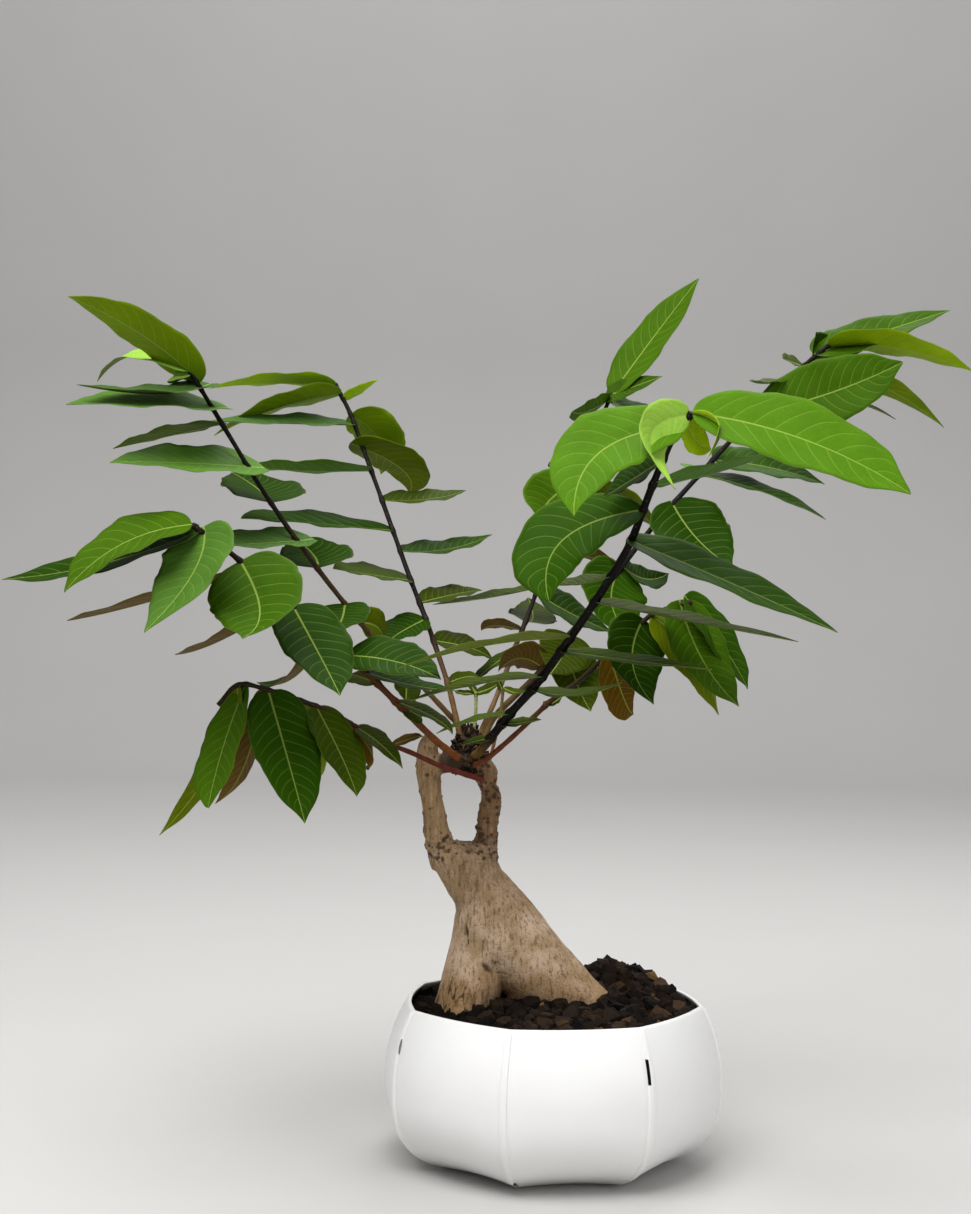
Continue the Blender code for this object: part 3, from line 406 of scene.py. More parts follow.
def makeGrains(material):
    # grains lie at even random places of the soil's top; each is the grain shape with its points
    # shaken, squashed along its own axes and turned at random, and sunk into the soil or lying on it
    p = soilPlan
    rng = np.random.default_rng(p["seed"])
    reach = potPlan["widest"] - potPlan["wall"]
    x, y = rng.uniform(-reach, reach, (2, p["grains"] * 3))
    smallest, largest = p["grainSize"]
    size = smallest + (largest - smallest) * rng.beta(*p["sizeMix"], len(x))
    level = np.minimum(soilHeight(x, y), p["roomLevel"])
    room = potRadius(np.arctan2(x, -y), level)[0] - potPlan["wall"] - p["wallGap"] * size
    keep = np.hypot(x, y) < room
    x, y, size = (values[keep][:p["grains"]] for values in (x, y, size))
    order = np.argsort(-size)
    x, y, size = x[order], y[order], size[order]
    apart = np.ones(len(x), bool)    # large grains lie side by side, small ones fall between them
    for k in range(1, len(x)):
        near = np.hypot(x[:k] - x[k], y[:k] - y[k]) < p["spacing"] * (size[:k] + size[k])
        apart[k] = not np.any(near & apart[:k])
    count = len(x)
    shape, faces = grainShape()
    shaken = shape[None] * (1.0 + rng.uniform(-p["shaken"], p["shaken"], (count, len(shape), 1)))
    shaken = shaken * rng.uniform(*p["squash"], (count, 1, 3))
    axes = unit(rng.normal(size=(count, 2, 3)))
    first = axes[:, 0]
    second = unit(np.cross(first, axes[:, 1]))
    frames = np.stack([first, second, np.cross(first, second)], 1)
    turned = np.einsum("nij,njk->nik", shaken, frames) * (size / 2.0)[:, None, None]
    large, small = (rng.uniform(*span, count) for span in p["sunk"])
    lift = np.where(apart, large, small) * size
    edge = np.hypot(x, y) / reach
    middle = np.stack([x, y, soilHeight(x, y) + lift * (1.0 - 0.5 * edge)], -1)
    brim = p["brim"][0] + p["brim"][1] * smoothStep(0.0, 50.0 * mm, x)    # up to the lip at the right
    middle[:, 2] = np.where(edge > p["brimFrom"], np.minimum(middle[:, 2], brim), middle[:, 2])
    palette = np.array([hexColour(text) for text in p["colours"]])
    tint = palette[rng.choice(len(palette), count, p=np.array(p["shares"]) / sum(p["shares"]))]
    tint[:, :3] *= rng.uniform(*p["tintRange"], (count, 1))
    # painted shade: the small grains that fill the gaps between large ones are darkened
    tint[:, :3] *= np.where(apart, 1.0, p["smallShade"])[:, None]
    # painted shade: grains at the left, in the shade of the trunk and the wall, are darkened
    unshaded = smoothStep(*p["leftShadeSpan"], x)[:, None]
    tint[:, :3] *= p["leftShadeShare"] + (1.0 - p["leftShadeShare"]) * unshaded
    scatter(turned + middle[:, None, :], faces, material, "soilGrains", tint)


# the caudex: trunk with two root flares, two woody stems and the scaly crown they meet in
caudexPlan = {
    # a slice: pixel row, left edge, right edge, depth of its middle, half depth in millimetres
    "slices": {
        "left": ((843, 430, 492, 4, 9.5), (850, 427, 496, 4, 13.5), (865, 433, 500, 4, 14.0),
                 (879, 440, 506, 5, 14.5), (892, 447, 509, 5, 15.0), (906, 455, 511, 5, 16.0),
                 (919, 454, 512, 5, 16.5), (940, 451, 511, 6, 18.0), (959, 446, 509, 6, 19.5),
                 (978, 441, 506, 6, 21.0), (994, 437, 501, 6, 22.0), (1009, 434, 497, 6, 22.5),
                 (1040, 440, 490, 6, 18.0), (1065, 452, 482, 6, 11.0)),
        "right": ((872, 466, 504, 5, 10.0), (892, 470, 522, 6, 14.0), (906, 474, 534, 6, 16.0),
                  (919, 482, 544.5, 7, 17.5), (940, 490, 561, 8, 19.5), (959, 499, 578.5, 8, 20.0),
                  (978, 506, 594, 8, 20.0), (994, 512, 610, 8, 19.0), (1010, 520, 622, 8, 17.5),
                  (1035, 534, 612, 8, 13.0), (1055, 550, 590, 8, 8.0)),
        "back": ((872, 452, 496, 8, 10.0), (892, 454, 505, 12, 12.0), (919, 458, 515, 17, 14.0),
                 (945, 464, 524, 22, 15.0), (970, 470, 532, 26, 15.0), (995, 474, 538, 30, 14.0),
                 (1025, 480, 536, 32, 11.0), (1050, 492, 522, 32, 6.0)),
        "middle": ((872, 455, 503, 6, 12.5), (892, 456, 520, 6, 15.8), (919, 462, 535, 6, 19.0),
                   (945, 464, 552, 6.5, 20.8), (969, 482, 567, 7.2, 20.4), (988, 500, 576, 8, 19.0),
                   (1004, 508, 580, 8, 16.0), (1024, 522, 574, 8, 11.0)),
    },
    # a knot: pixel, depth and radius in millimetres
    "limbs": {
        "leftStem": ((444, 868, 3, 5.8), (439, 842, 2, 6.2), (436, 828, 1.5, 5.6), (434, 812, 1, 5.1),
                     (431, 794, 0.5, 5.0), (428.5, 775, 0, 5.5), (427, 758, -0.5, 5.0),
                     (428.5, 744, -0.5, 4.5), (431, 735.5, -0.5, 2.8)),
        "rightStem": ((483, 868, 4, 5.0), (486, 842, 3.5, 5.2), (487, 828, 3, 4.7), (489, 812, 2.5, 4.6),
                      (491, 799, 2, 4.2), (488, 785, 1.5, 3.9), (485.5, 772, 1, 4.9), (484, 762, 1, 3.6)),
        "crownBridge": ((435, 767, -0.5, 3.6), (448, 762, -0.5, 5.0), (460, 760, 0.5, 5.6),
                        (469, 759, 1, 5.6), (477, 761, 1, 5.0), (487, 767, 1, 3.8)),
        "crownKnob": ((467, 768, 1.5, 3.0), (467, 762, 1.5, 5.2), (467, 752, 2, 6.4), (468, 742, 3, 5.6),
                      (469, 733, 4, 4.3), (470, 726, 4.5, 2.4)),
        "spur": ((489, 799, 1, 3.2), (495, 797, 0, 2.6), (500, 795, -1, 1.5)),
    },
    "sides": (48, 24),    # of the trunk's slices and of the limbs
    "crownDepthShare": 1.3,
    "voxel": 0.72 * mm,
    "smoothing": (0.5, 11),    # strength and rounds
    # how high each kind of relief stands, or how deep it is cut
    "lumps": 0.38 * mm,
    "barkCracks": 0.26 * mm,
    "neckBands": 0.30 * mm,
    "folds": 0.22 * mm,
    "crownRough": 0.55 * mm,
    "stemRings": 0.32 * mm,
    "stemKnobs": (0.30 * mm, 0.12 * mm),    # more on the right stem, and on all the wood
    "warts": (300, 0.55 * mm),              # count and height
    "wartSize": (0.45, 1.15),               # millimetres
    "crownScales": 420,
    "scaleSize": (1.2, 2.9),                # millimetres
    # a scale's half widths from foot to tip, crease and thickness, as shares of its length
    "scaleHalves": (0.42, 0.50, 0.42, 0.25, 0.03),
    "scaleCrease": 0.30,
    "scaleThick": 0.16,
    "scaleSunk": 0.4 * mm,
    "scaleLean": (0.55, 0.35),              # upward, and at random
    "scaleTones": {"#1d1512": 0.42, "#2b1e18": 0.34, "#48321f": 0.16, "#6e4d33": 0.08},
    "seed": 5,
}


def sliceRings(slices, sides):
    # ellipses, level, through smoothly joined slices: as wide as the pixels say, half deep as given
    row, left, right, deep, half = smoothPath(np.array(slices, float), 5).T
    a, b = sight(left, row, deep), sight(right, row, deep)
    turn = 2.0 * math.pi * np.arange(sides) / sides
    middle = (a + b)[:, None] / 2.0
    across = np.linalg.norm(b - a, axis=1) / 2.0
    return closedRings(np.stack([middle[..., 0] + across[:, None] * np.cos(turn),
                                 middle[..., 1] + half[:, None] * mm * np.sin(turn),
                                 middle[..., 2] + 0.0 * turn], -1))


def ridges(points, cell, seed, low):
    # thin ridges along the lines where the noise is zero
    return smoothStep(low, 1.0, 1.0 - np.abs(latticeNoise(points, cell, seed)))


def makeCaudex(material):
    # slices and limbs melt into one skin, which is softened and then moved along its normals by a sum of
    # noise, ridges and bells, each faded in and out over its own stretch of the trunk
    p = caudexPlan
    rng = np.random.default_rng(p["seed"])
    pieces = [sliceRings(slices, p["sides"][0]) for slices in p["slices"].values()]
    for name, knots in p["limbs"].items():
        x, y, deep, radius = smoothPath(np.array(knots, float), 5).T
        share = p["crownDepthShare"] if name == "crownBridge" else 1.0
        pieces.append(tube(sight(x, y, deep), radius * mm, p["sides"][1], share))
    starts = np.concatenate([[0], np.cumsum([len(points) for points, _, _ in pieces])])
    body = meshPiece("caudexBody", np.vstack([points for points, _, _ in pieces]),
                     [faces[kind] + start for kind in (1, 2) for faces, start in zip(pieces, starts)],
                     [material])
    skin = body.modifiers.new("skin", "REMESH")
    skin.mode = "VOXEL"
    skin.voxel_size = p["voxel"]
    soften = body.modifiers.new("soften", "SMOOTH")
    soften.factor, soften.iterations = p["smoothing"]
    bakeModifiers(body)
    mesh = body.data
    points = readPoints(mesh.vertices, "co")
    normals = readPoints(mesh.vertex_normals, "vector")
    # a place on the trunk is told by the pixel column and row where it is seen
    column, row = pixelOf(points).T
    woody = smoothStep(872.0, 838.0, row)
    # the crown, its top, and painted shade on the arm beside it
    crown, crownTop, armShade = (
        smoothStep(far * mm, near * mm, np.linalg.norm(points - sight(*spot), axis=1))
        for spot, far, near in (((466, 754, 2), 12.5, 6.25), ((469, 733, 4), 10.0, 5.0),
                                ((452, 762, -4), 9.0, 5.0)))
    crown = np.maximum(crown, crownTop)
    lumps = latticeNoise(points, (11, 11, 16), 3) + 0.5 * latticeNoise(points, 5, 4)
    cracks = 1.0 - np.abs(latticeNoise(points, (1.9, 1.9, 15), 8))    # along the grain
    cracks = smoothStep(0.80, 0.98, cracks) * smoothStep(-0.5, 0.3, latticeNoise(points, 9, 9))
    cracks *= smoothStep(520.0, 462.0, column) * smoothStep(885.0, 915.0, row)    # at the trunk's left
    folds = ridges(points, (12, 12, 3.4), 14, 0.70) * smoothStep(0.0, 0.5, latticeNoise(points, 14, 15))
    folds *= smoothStep(860.0, 885.0, row)
    neck = smoothStep(818.0, 834.0, row) * smoothStep(884.0, 862.0, row)
    bands = ridges(points, (9, 9, 2.2), 12, 0.72) * neck
    scaly = latticeNoise(points, 1.6, 21)
    onRight = woody * smoothStep(462.0, 472.0, column) * smoothStep(758.0, 768.0, row)
    rings = ridges(points, (7, 7, 2.6), 17, 0.55)
    knobs = latticeNoise(points, 2.6, 18)
    rise = (p["lumps"] * lumps * (1.0 - 0.5 * woody) - p["barkCracks"] * cracks * (1.0 - 0.7 * woody)
            - p["neckBands"] * bands - p["folds"] * folds + p["crownRough"] * scaly * crown
            + (p["stemRings"] * rings + p["stemKnobs"][0] * knobs) * onRight
            + p["stemKnobs"][1] * knobs * woody)
    # warts: small bells, more of them low on the stems and on the right one
    count, high = p["warts"]
    spots = np.flatnonzero((woody > 0.25) & (crown < 0.2) & (points[:, 2] < sight(440, 750, 0)[2]))
    chance = 0.16 + 0.85 * smoothStep(815.0, 842.0, row[spots]) + 1.2 * (column[spots] > 468)
    spots = rng.choice(spots, count, replace=False, p=chance / chance.sum())
    size = rng.uniform(*p["wartSize"], count) * mm
    far = np.linalg.norm(points[:, None, :] - points[spots][None], axis=2)
    wart = np.max(np.exp(-(far / size) ** 2), axis=1)
    points = points + normals * (rise + high * wart)[:, None]
    mesh.vertices.foreach_set("co", points.astype(np.float32).ravel())
    # marks for the bark: how dark it is at warts and the left stem's cut top, and painted shade in the
    # cracks, bands, folds and the knobs' dips; the crown, and painted shade on the arm beside it; the
    # ring of ochre near the soil; the woody stems' share
    darkTop = smoothStep(750.0, 738.0, row) * smoothStep(448.0, 440.0, column)
    # warts and the cut top are dark themselves; the cracks, bands, folds and knobs' dips get painted
    # shade
    darkness = (np.maximum(0.85 * cracks, wart) + 0.5 * bands + 0.35 * folds
                + 0.5 * onRight * smoothStep(-0.2, -0.9, knobs) + 0.6 * darkTop)
    nearSoil = points[:, 2] + 5.0 * mm * latticeNoise(points, 7, 31)
    wavy = row + 9.0 * latticeNoise(points, (8, 8, 14), 32)
    stems = 0.6 * smoothStep(950.0, 880.0, wavy) + 0.4 * smoothStep(868.0, 820.0, wavy)
    paintPoints(mesh, "barkMarks", np.stack([np.clip(darkness, 0.0, 1.0), np.maximum(crown, 0.8 * armShade),
                                             smoothStep(94.0 * mm, 72.0 * mm, nearSoil), stems], -1))
    mesh.shade_smooth()
    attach(body, "root")
    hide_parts("caudex")
    print("caudex:", len(mesh.polygons), "faces")
    return points, normals, crown


def makeCrownScales(material, points, normals, crown):
    # small dry bud scales: each a pointed, creased leaf with 3 points across and two sides, which stands
    # on the crown along its normal, leaning upward and at random
    p = caudexPlan
    rng = np.random.default_rng(p["seed"] + 1)
    spots = rng.choice(np.flatnonzero(crown > 0.35), p["crownScales"], replace=False)
    count = len(spots)
    half = np.array(p["scaleHalves"])[:, None]
    rows = len(half)
    upward = np.linspace(0.0, 1.0, rows)[:, None]
    across = np.array([[-1.0, 0.0, 1.0]])
    crease = p["scaleCrease"] * (1.0 - np.abs(across)) * half
    sheet = np.stack([across * half, crease, upward + 0.0 * across], -1).reshape(-1, 3)
    both = np.concatenate([sheet, sheet - [0.0, p["scaleThick"], 0.0]])
    quads = gridFaces(rows, 3)
    k = 3 * np.arange(rows)
    rim = np.concatenate([k, k[-1:] + 1, k[::-1] + 2, [1]])
    onward = np.roll(rim, -1)
    wall = np.stack([rim, onward, onward + len(sheet), rim + len(sheet)], -1)
    faces = np.vstack([quads, quads[:, ::-1] + len(sheet), wall])
    lean, loose = p["scaleLean"]
    up = unit(normals[spots] + [0.0, 0.0, lean] + rng.normal(0.0, loose, (count, 3)))
    side = unit(np.cross(up, unit(rng.normal(size=(count, 3)))))
    size = rng.uniform(*p["scaleSize"], count)[:, None, None] * mm
    frames = np.stack([side, np.cross(up, side), up], 1)
    foot = (points[spots] - p["scaleSunk"] * up)[:, None, :]
    placed = np.einsum("pk,nkj->npj", both, frames) * size + foot
    tones = np.array([hexColour(text) for text in p["scaleTones"]])
    tint = tones[rng.choice(len(tones), count, p=list(p["scaleTones"].values()))]
    scatter(placed, faces, material, "crownScales", tint)


# leaves and stems
leafPlan = {
    "tipPower": (0.85, 1.6),     # for a leaf of the usual form, and its fall for one widest further out
    "footShare": 0.88,
    "dripTip": 0.40,             # share of its width that the blade loses at the very tip
    "foldDegrees": 9.0,
    "waves": (2.6, 0.05),        # waves along the blade, and their height as a share of its half width
    "ripples": (7.3, 0.010),
    "ragged": ((37.0, 0.012), (61.0, 0.008)),    # the edges' unevenness: radians along the blade, share
    "stubHalf": 0.7 * mm,
    "tipHalf": 0.12 * mm,
    "heelShift": 0.9,
    "thickness": 0.36 * mm,
    "thinEdge": 0.55,            # share of its thickness that the blade loses at its edges
    "rows": 46,
    "columns": 15,               # odd, so that the middle column is the midrib
    "ribDip": (0.25 * mm, 0.7 * mm),    # depth and half width
    "usual": (0.36, 0, 0),       # the last three values of a leaf that doesn't give them
    "toneSpread": (0.10, 0.75),  # how much the tones differ from leaf to leaf, and the darkest
    "stemSides": 12,
    "stemSteps": 24,             # from knot to knot of its path
    "stemUneven": (0.05 * mm, 90.0),    # a sine's height, and its radians along the stem
    "rootReach": 2.4 * mm,
    "nodeSwell": (0.30, 1.6 * mm),      # share of the stem's radius, and reach
    "seed": 23,
    # bluish and oliveGrey hold painted sheen, light reflected off the wax; young is a young leaf's pale
    # yellow-green, made brighter as painted light shining through the leaf
    "upperTones": {
        "bright": "#4a7310", "fresh": "#3d5e06", "grass": "#335206", "mid": "#284802", "dark": "#1e3902",
        "deep": "#303c02", "bluish": "#41602b", "leafy": "#4c7228", "sunny": "#98ba0a",
        "olive": "#515f02", "oliveTan": "#6a7630", "oliveDark": "#3a4e03", "oliveGrey": "#354313",
        "oliveBrown": "#495302", "pale": "#80a63c", "young": "#cdea38", "moss": "#708a08",
        "brown": "#604a1e", "rust": "#5c4208",
    },
    "hiddenUpper": "#3c5a16",
    "hiddenUnder": "#5d6b38",
}

# a frond: its stem's path (pixel x, pixel y, millimetres behind the pot's axis), the stem's diameter in
# millimetres and its colour, each at the foot and the tip, the share of its length where the tip's
# colour is reached, and its leaves. A leaf: pixels of its foot, its tip and the two edges where it is
# widest, how far the tip lies behind the foot and its width, in millimetres, and its tone; then, where
# they aren't the usual ones, the share of its length where it is widest, how far it reaches back past
# its foot in millimetres, and 1 if its lower side is seen
frondPlans = {
    "frond_upper_left": {
        "path": ((468, 738, 6), (461, 727, 7), (453, 719, 6.5), (440, 705, 3), (423, 687, -2),
                 (400, 664, -8), (375, 640, -14), (317, 568, -26), (267, 497, -35), (230, 437, -41),
                 (190, 371, -46)),
        "thick": (2.8, 1.9), "bark": ("#6a5230", "#120e0c"), "barkTurns": 0.75,
        "leaves": (
            (189, 371, 68, 296, 162, 319, 140, 351, -12, 27, "moss", 0.36, 6, 1),
            (189, 372, 97, 381, 150, 357, 150, 346, 40, 16, "pale"),
            (190, 373, 184, 379, 176, 379, 174, 369, 6, 8, "pale"),
            (200, 386, 77, 384, 165, 391, 165, 385, -38, 26, "bluish", 0.36, 8),
            (213, 405, 66, 404, 160, 406, 160, 391, -42, 30, "leafy", 0.36, 8),
            (222, 425, 113, 448, 185, 423, 185, 432, 30, 24, "oliveDark", 0.36, 0, 1),
            (248, 466, 110, 462, 200, 470, 200, 446, -42, 32, "leafy", 0.36, 8),
            (272, 501, 232, 472, 303, 492, 223, 481, 50, 36, "dark"),
            (298, 541, 196, 545, 262, 547, 262, 529, -26, 30, "bluish", 0.36, 8),
            (318, 568, 292, 536, 350, 556, 282, 551, 46, 32, "dark"),
            (345, 604, 331, 633, 361, 621, 324, 606, -32, 24, "dark"),
            (361, 621, 383, 641, 367, 635, 384, 614, 14, 16, "olive"),
            (407, 671, 406, 701, 394, 686, 421, 686, -8, 14, "deep"),
        ),
    },
    "frond_front_left": {
        "path": ((459, 759, -5), (450, 752, -9), (433, 738, -14), (400, 706, -26), (361, 668, -38),
                 (300, 614, -54), (233, 555, -70), (192, 525, -78)),
        "thick": (3.8, 2), "bark": ("#70401c", "#1c130e"), "barkTurns": 0.7,
        "leaves": (
            (191, 524, 64, 592, 139, 549, 122, 519, -14, 30, "fresh", 0.42),
            (200, 531, 2, 579, 125, 564, 125, 541, 22, 28, "dark"),
            (206, 531, 144, 632, 226, 562, 159, 565, -26, 33, "leafy", 0.4, 5),
            (242, 561, 242, 638, 301, 595, 212, 591, -45, 38, "grass"),
            (250, 570, 67, 620, 165, 589, 165, 595, 26, 24, "brown", 0.36, 0, 1),
            (285, 600, 175, 654, 235, 624, 235, 632, 28, 22, "brown", 0.36, 0, 1),
            (294, 607, 340, 695, 279, 645, 348, 631, -36, 33, "dark", 0.36, 2),
            (325, 636, 257, 682, 300, 662, 300, 671, 25, 20, "brown", 0.36, 0, 1),
            (350, 654, 441, 679, 376, 672, 389, 637, -15, 30, "dark"),
            (366, 672, 455, 690, 400, 686, 400, 673, 5, 17, "dark"),
            (378, 684, 350, 674, 362, 683, 366, 669, 18, 15, "oliveBrown"),
            (396, 702, 453, 734, 423, 716, 428, 706, -5, 12, "deep"),
            (401, 707, 422, 718, 408, 717, 421, 706, 8, 12, "deep"),
        ),
    },
    "frond_low_left": {
        "path": ((482, 779, -3), (470, 776, -8), (455, 771, -11), (438, 765, -13), (412, 753, -17),
                 (375, 738, -23), (325, 710, -33), (268, 690, -44), (238, 685, -49), (218, 705, -53)),
        "thick": (2.6, 1.8), "bark": ("#642a1e", "#2c2214"), "barkTurns": 0.8,
        "leaves": (
            (247, 682, 208, 808, 237, 754, 199, 752, -22, 22, "fresh", 0.56),
            (240, 687, 159, 835, 231, 748, 208, 740, 13, 18, "olive"),
            (262, 690, 215, 803, 238, 741, 258, 752, 14, 17, "brown", 0.36, 0, 1),
            (269, 690, 305, 823, 250, 742, 319, 738, -26, 32, "mid"),
            (300, 700, 317, 778, 307, 737, 328, 745, 14, 18, "moss", 0.36, 0, 1),
            (315, 706, 357, 796, 318, 747, 357, 736, -22, 25, "oliveDark"),
            (345, 722, 364, 768, 358, 746, 373, 749, 14, 13, "rust", 0.36, 0, 1),
            (355, 728, 403, 768, 367, 742, 380, 730, -12, 14, "deep"),
            (392, 744, 423, 736, 405, 744, 404, 735, -5, 7, "brown"),
        ),
    },
    "frond_centre": {
        "path": ((463, 752, -1), (460, 735, 0), (457, 722, 1), (452, 700, 6), (446, 678, 11),
                 (428, 625, 25), (410, 578, 35), (383, 503, 47), (363, 448, 55), (350, 413, 59),
                 (335, 384, 62)),
        "thick": (2.8, 1.9), "bark": ("#70502f", "#1c1715"), "barkTurns": 0.4,
        "leaves": (
            (336, 385, 209, 388, 290, 372, 290, 385, -15, 25, "sunny", 0.36, 0, 1),
            (340, 395, 214, 435, 295, 388, 295, 407, -20, 27, "moss", 0.36, 0, 1),
            (342, 398, 378, 379, 354, 387, 353, 398, 5, 9, "sunny", 0.36, 0, 1),
            (351, 414, 381, 474, 397, 420, 353, 437, 25, 28, "moss", 0.36, 0, 1),
            (354, 425, 209, 421, 300, 424, 300, 414, -32, 27, "bluish"),
            (363, 448, 409, 494, 421, 456, 375, 466, 28, 28, "olive", 0.36, 4, 1),
            (371, 470, 245, 463, 305, 460, 305, 472, -25, 26, "bright", 0.36, 0, 1),
            (382, 500, 466, 490, 418, 502, 418, 490, 14, 25, "oliveGrey"),
            (393, 530, 241, 518, 318, 525, 318, 512, -30, 30, "dark"),
            (401, 552, 492, 534, 436, 553, 435, 540, 16, 27, "dark"),
            (411, 580, 333, 568, 375, 577, 378, 566, -25, 24, "oliveGrey"),
            (421, 602, 482, 590, 446, 600, 444, 585, 12, 24, "deep"),
            (426, 620, 387, 643, 414, 636, 399, 615, -18, 22, "dark"),
            (434, 642, 493, 659, 459, 651, 464, 634, 10, 20, "deep"),
            (448, 683, 481, 679, 462, 681, 462, 671, 3, 12, "deep"),
        ),
    },
    "frond_front_right": {
        "path": ((474, 756, -4), (482, 749, -10), (509, 715, -24), (539, 681, -38), (580, 624, -58),
                 (612, 575, -75), (631, 541, -86), (652, 487, -100), (672, 440, -110), (692, 413, -115)),
        "thick": (4.3, 2.6), "bark": ("#755a2c", "#0d0908"), "barkTurns": 0.12,
        "leaves": (
            (692, 413, 911, 494, 786, 463, 811, 402, -14, 33, "bright", 0.46),
            (693, 411, 706, 458, 720, 424, 709, 420, -12, 8, "young"),
            (689, 414, 676, 489, 641, 424, 675, 428, -22, 17, "pale"),
            (680, 426, 574, 516, 640, 462, 584, 416, -28, 35, "bright", 0.4),
            (686, 420, 712, 450, 683, 442, 706, 429, 8, 13, "sunny"),
            (663, 461, 602, 498, 636, 484, 640, 456, 8, 26, "dark"),
            (653, 486, 768, 454, 696, 467, 698, 477, 26, 24, "leafy", 0.36, 0, 1),
            (643, 511, 549, 601, 594, 552, 528, 520, -16, 36, "mid", 0.5),
            (632, 541, 838, 632, 706, 583, 712, 553, -14, 29, "mid", 0.36, 2),
            (611, 577, 519, 580, 578, 584, 578, 576, 6, 20, "oliveGrey"),
            (597, 603, 798, 641, 662, 615, 662, 607, 2, 24, "deep"),
            (566, 634, 398, 668, 512, 634, 511, 640, -12, 22, "oliveTan", 0.36, 0, 1),
            (560, 652, 712, 669, 614, 661, 614, 651, -36, 14, "oliveDark"),
            (541, 677, 411, 700, 498, 681, 496, 674, -12, 18, "deep"),
            (533, 690, 622, 682, 563, 697, 563, 688, -6, 16, "oliveGrey"),
            (510, 714, 436, 733, 482, 719, 481, 714, 3, 12, "oliveGrey"),
            (502, 725, 541, 719, 516, 726, 516, 718, -9, 10, "oliveGrey"),
            (490, 738, 462, 745, 479, 743, 478, 736, -3, 8, "deep"),
        ),
    },
    "frond_far_right": {
        "path": ((476, 751, 2), (484, 738, 5), (497, 714, 10), (543, 668, 18), (598, 598, 28),
                 (652, 528, 38), (713, 460, 49), (750, 420, 55), (787, 380, 61), (816, 356, 65),
                 (829, 345, 67)),
        "thick": (3.2, 1.9), "bark": ("#5f4a24", "#0f0b0a"), "barkTurns": 0.35,
        "leaves": (
            (820, 352, 950, 310, 872, 347, 856, 321, 14, 27, "grass", 0.36, 4),
            (827, 345, 973, 371, 886, 329, 884, 354, -12, 28, "sunny", 0.42, 0, 1),
            (812, 358, 862, 351, 808, 341, 819, 374, 28, 26, "dark", 0.36, 0, 1),
            (803, 366, 783, 358, 795, 365, 795, 357, -8, 12, "oliveGrey"),
            (788, 380, 750, 380, 770, 382, 770, 379, -12, 14, "oliveGrey"),
            (783, 385, 944, 427, 838, 362, 837, 380, 24, 22, "moss", 0.36, 0, 1),
            (757, 413, 903, 362, 838, 424, 812, 362, -22, 33, "grass", 0.45),
            (752, 419, 896, 419, 806, 403, 806, 391, 18, 22, "dark"),
            (714, 459, 825, 484, 755, 472, 759, 450, 18, 26, "mid"),
            (703, 471, 681, 463, 692, 469, 692, 465, 8, 8, "leafy"),
            (699, 476, 826, 519, 747, 488, 750, 478, -8, 22, "dark"),
            (673, 503, 733, 567, 660, 541, 723, 513, -26, 36, "dark", 0.36, 2),
            (655, 524, 588, 503, 627, 488, 625, 509, 24, 24, "olive", 0.36, 0, 1),
            (620, 567, 573, 556, 600, 551, 600, 562, 22, 18, "brown", 0.36, 0, 1),
            (622, 565, 669, 573, 642, 584, 640, 566, 18, 18, "dark"),
            (622, 565, 634, 641, 582, 590, 646, 590, -20, 34, "mid"),
            (566, 640, 591, 711, 551, 674, 598, 667, -12, 24, "deep"),
            (570, 635, 550, 674, 540, 652, 590, 645, -22, 26, "deep"),
            (543, 668, 498, 671, 533, 642, 519, 668, -4, 22, "brown", 0.36, 0, 1),
        ),
    },
    "frond_back": {
        "path": ((475, 741, 7), (482, 729, 12), (493, 705, 21), (503, 680, 30), (516, 645, 40),
                 (530, 610, 50), (555, 540, 68), (590, 450, 90), (605, 410, 99), (612, 394, 102)),
        "thick": (2.6, 1.8), "bark": ("#80623e", "#1c1614"), "barkTurns": 0.4,
        "leaves": (
            (612, 392, 699, 278, 661, 352, 630, 335, 6, 25, "fresh", 0.42),
            (611, 393, 662, 376, 630, 396, 623, 379, -10, 14, "grass", 0.42, 9),
            (610, 399, 572, 411, 592, 399, 588, 415, -20, 18, "fresh", 0.36, 0, 1),
            (610, 399, 668, 412, 638, 417, 637, 402, -10, 20, "bluish"),
            (589, 456, 548, 464, 567, 448, 567, 466, -8, 18, "dark", 0.36, 0, 1),
            (578, 480, 556, 532, 527, 503, 571, 499, -36, 29, "fresh", 0.42),
            (538, 588, 433, 604, 500, 595, 500, 589, 8, 20, "oliveGrey"),
            (536, 594, 612, 632, 560, 618, 564, 591, 12, 26, "dark"),
            (526, 622, 528, 597, 557, 622, 509, 610, 38, 24, "deep"),
            (521, 630, 481, 630, 503, 619, 503, 628, 10, 12, "brown", 0.36, 0, 1),
            (514, 650, 474, 681, 497, 666, 490, 659, -6, 12, "oliveGrey"),
        ),
    },
    "frond_low_right": {
        "path": ((473, 765, -5), (484, 761, -11), (500, 748, -14), (519, 731, -17), (552, 700, -22),
                 (580, 680, -25), (610, 652, -30), (646, 619, -35), (665, 609, -37), (692, 602, -40)),
        "thick": (2.6, 1.8), "bark": ("#6c3820", "#2c2412"), "barkTurns": 0.55,
        "leaves": (
            (690, 602, 748, 689, 707, 641, 733, 629, 4, 24, "mid", 0.36, 3),
            (680, 605, 739, 706, 675, 656, 721, 633, -20, 27, "fresh", 0.36, 2),
            (652, 617, 718, 715, 665, 651, 697, 643, 16, 24, "olive", 0.36, 0, 1),
            (641, 623, 654, 704, 607, 652, 663, 651, -20, 29, "dark", 0.36, 2),
            (609, 653, 633, 714, 602, 690, 633, 688, 12, 18, "rust", 0.36, 0, 1),
            (603, 658, 600, 681, 598, 669, 606, 666, 7, 7, "dark"),
            (544, 706, 562, 696, 552, 706, 550, 699, 4, 8, "deep"),
        ),
    },
    "shoot_pale": {
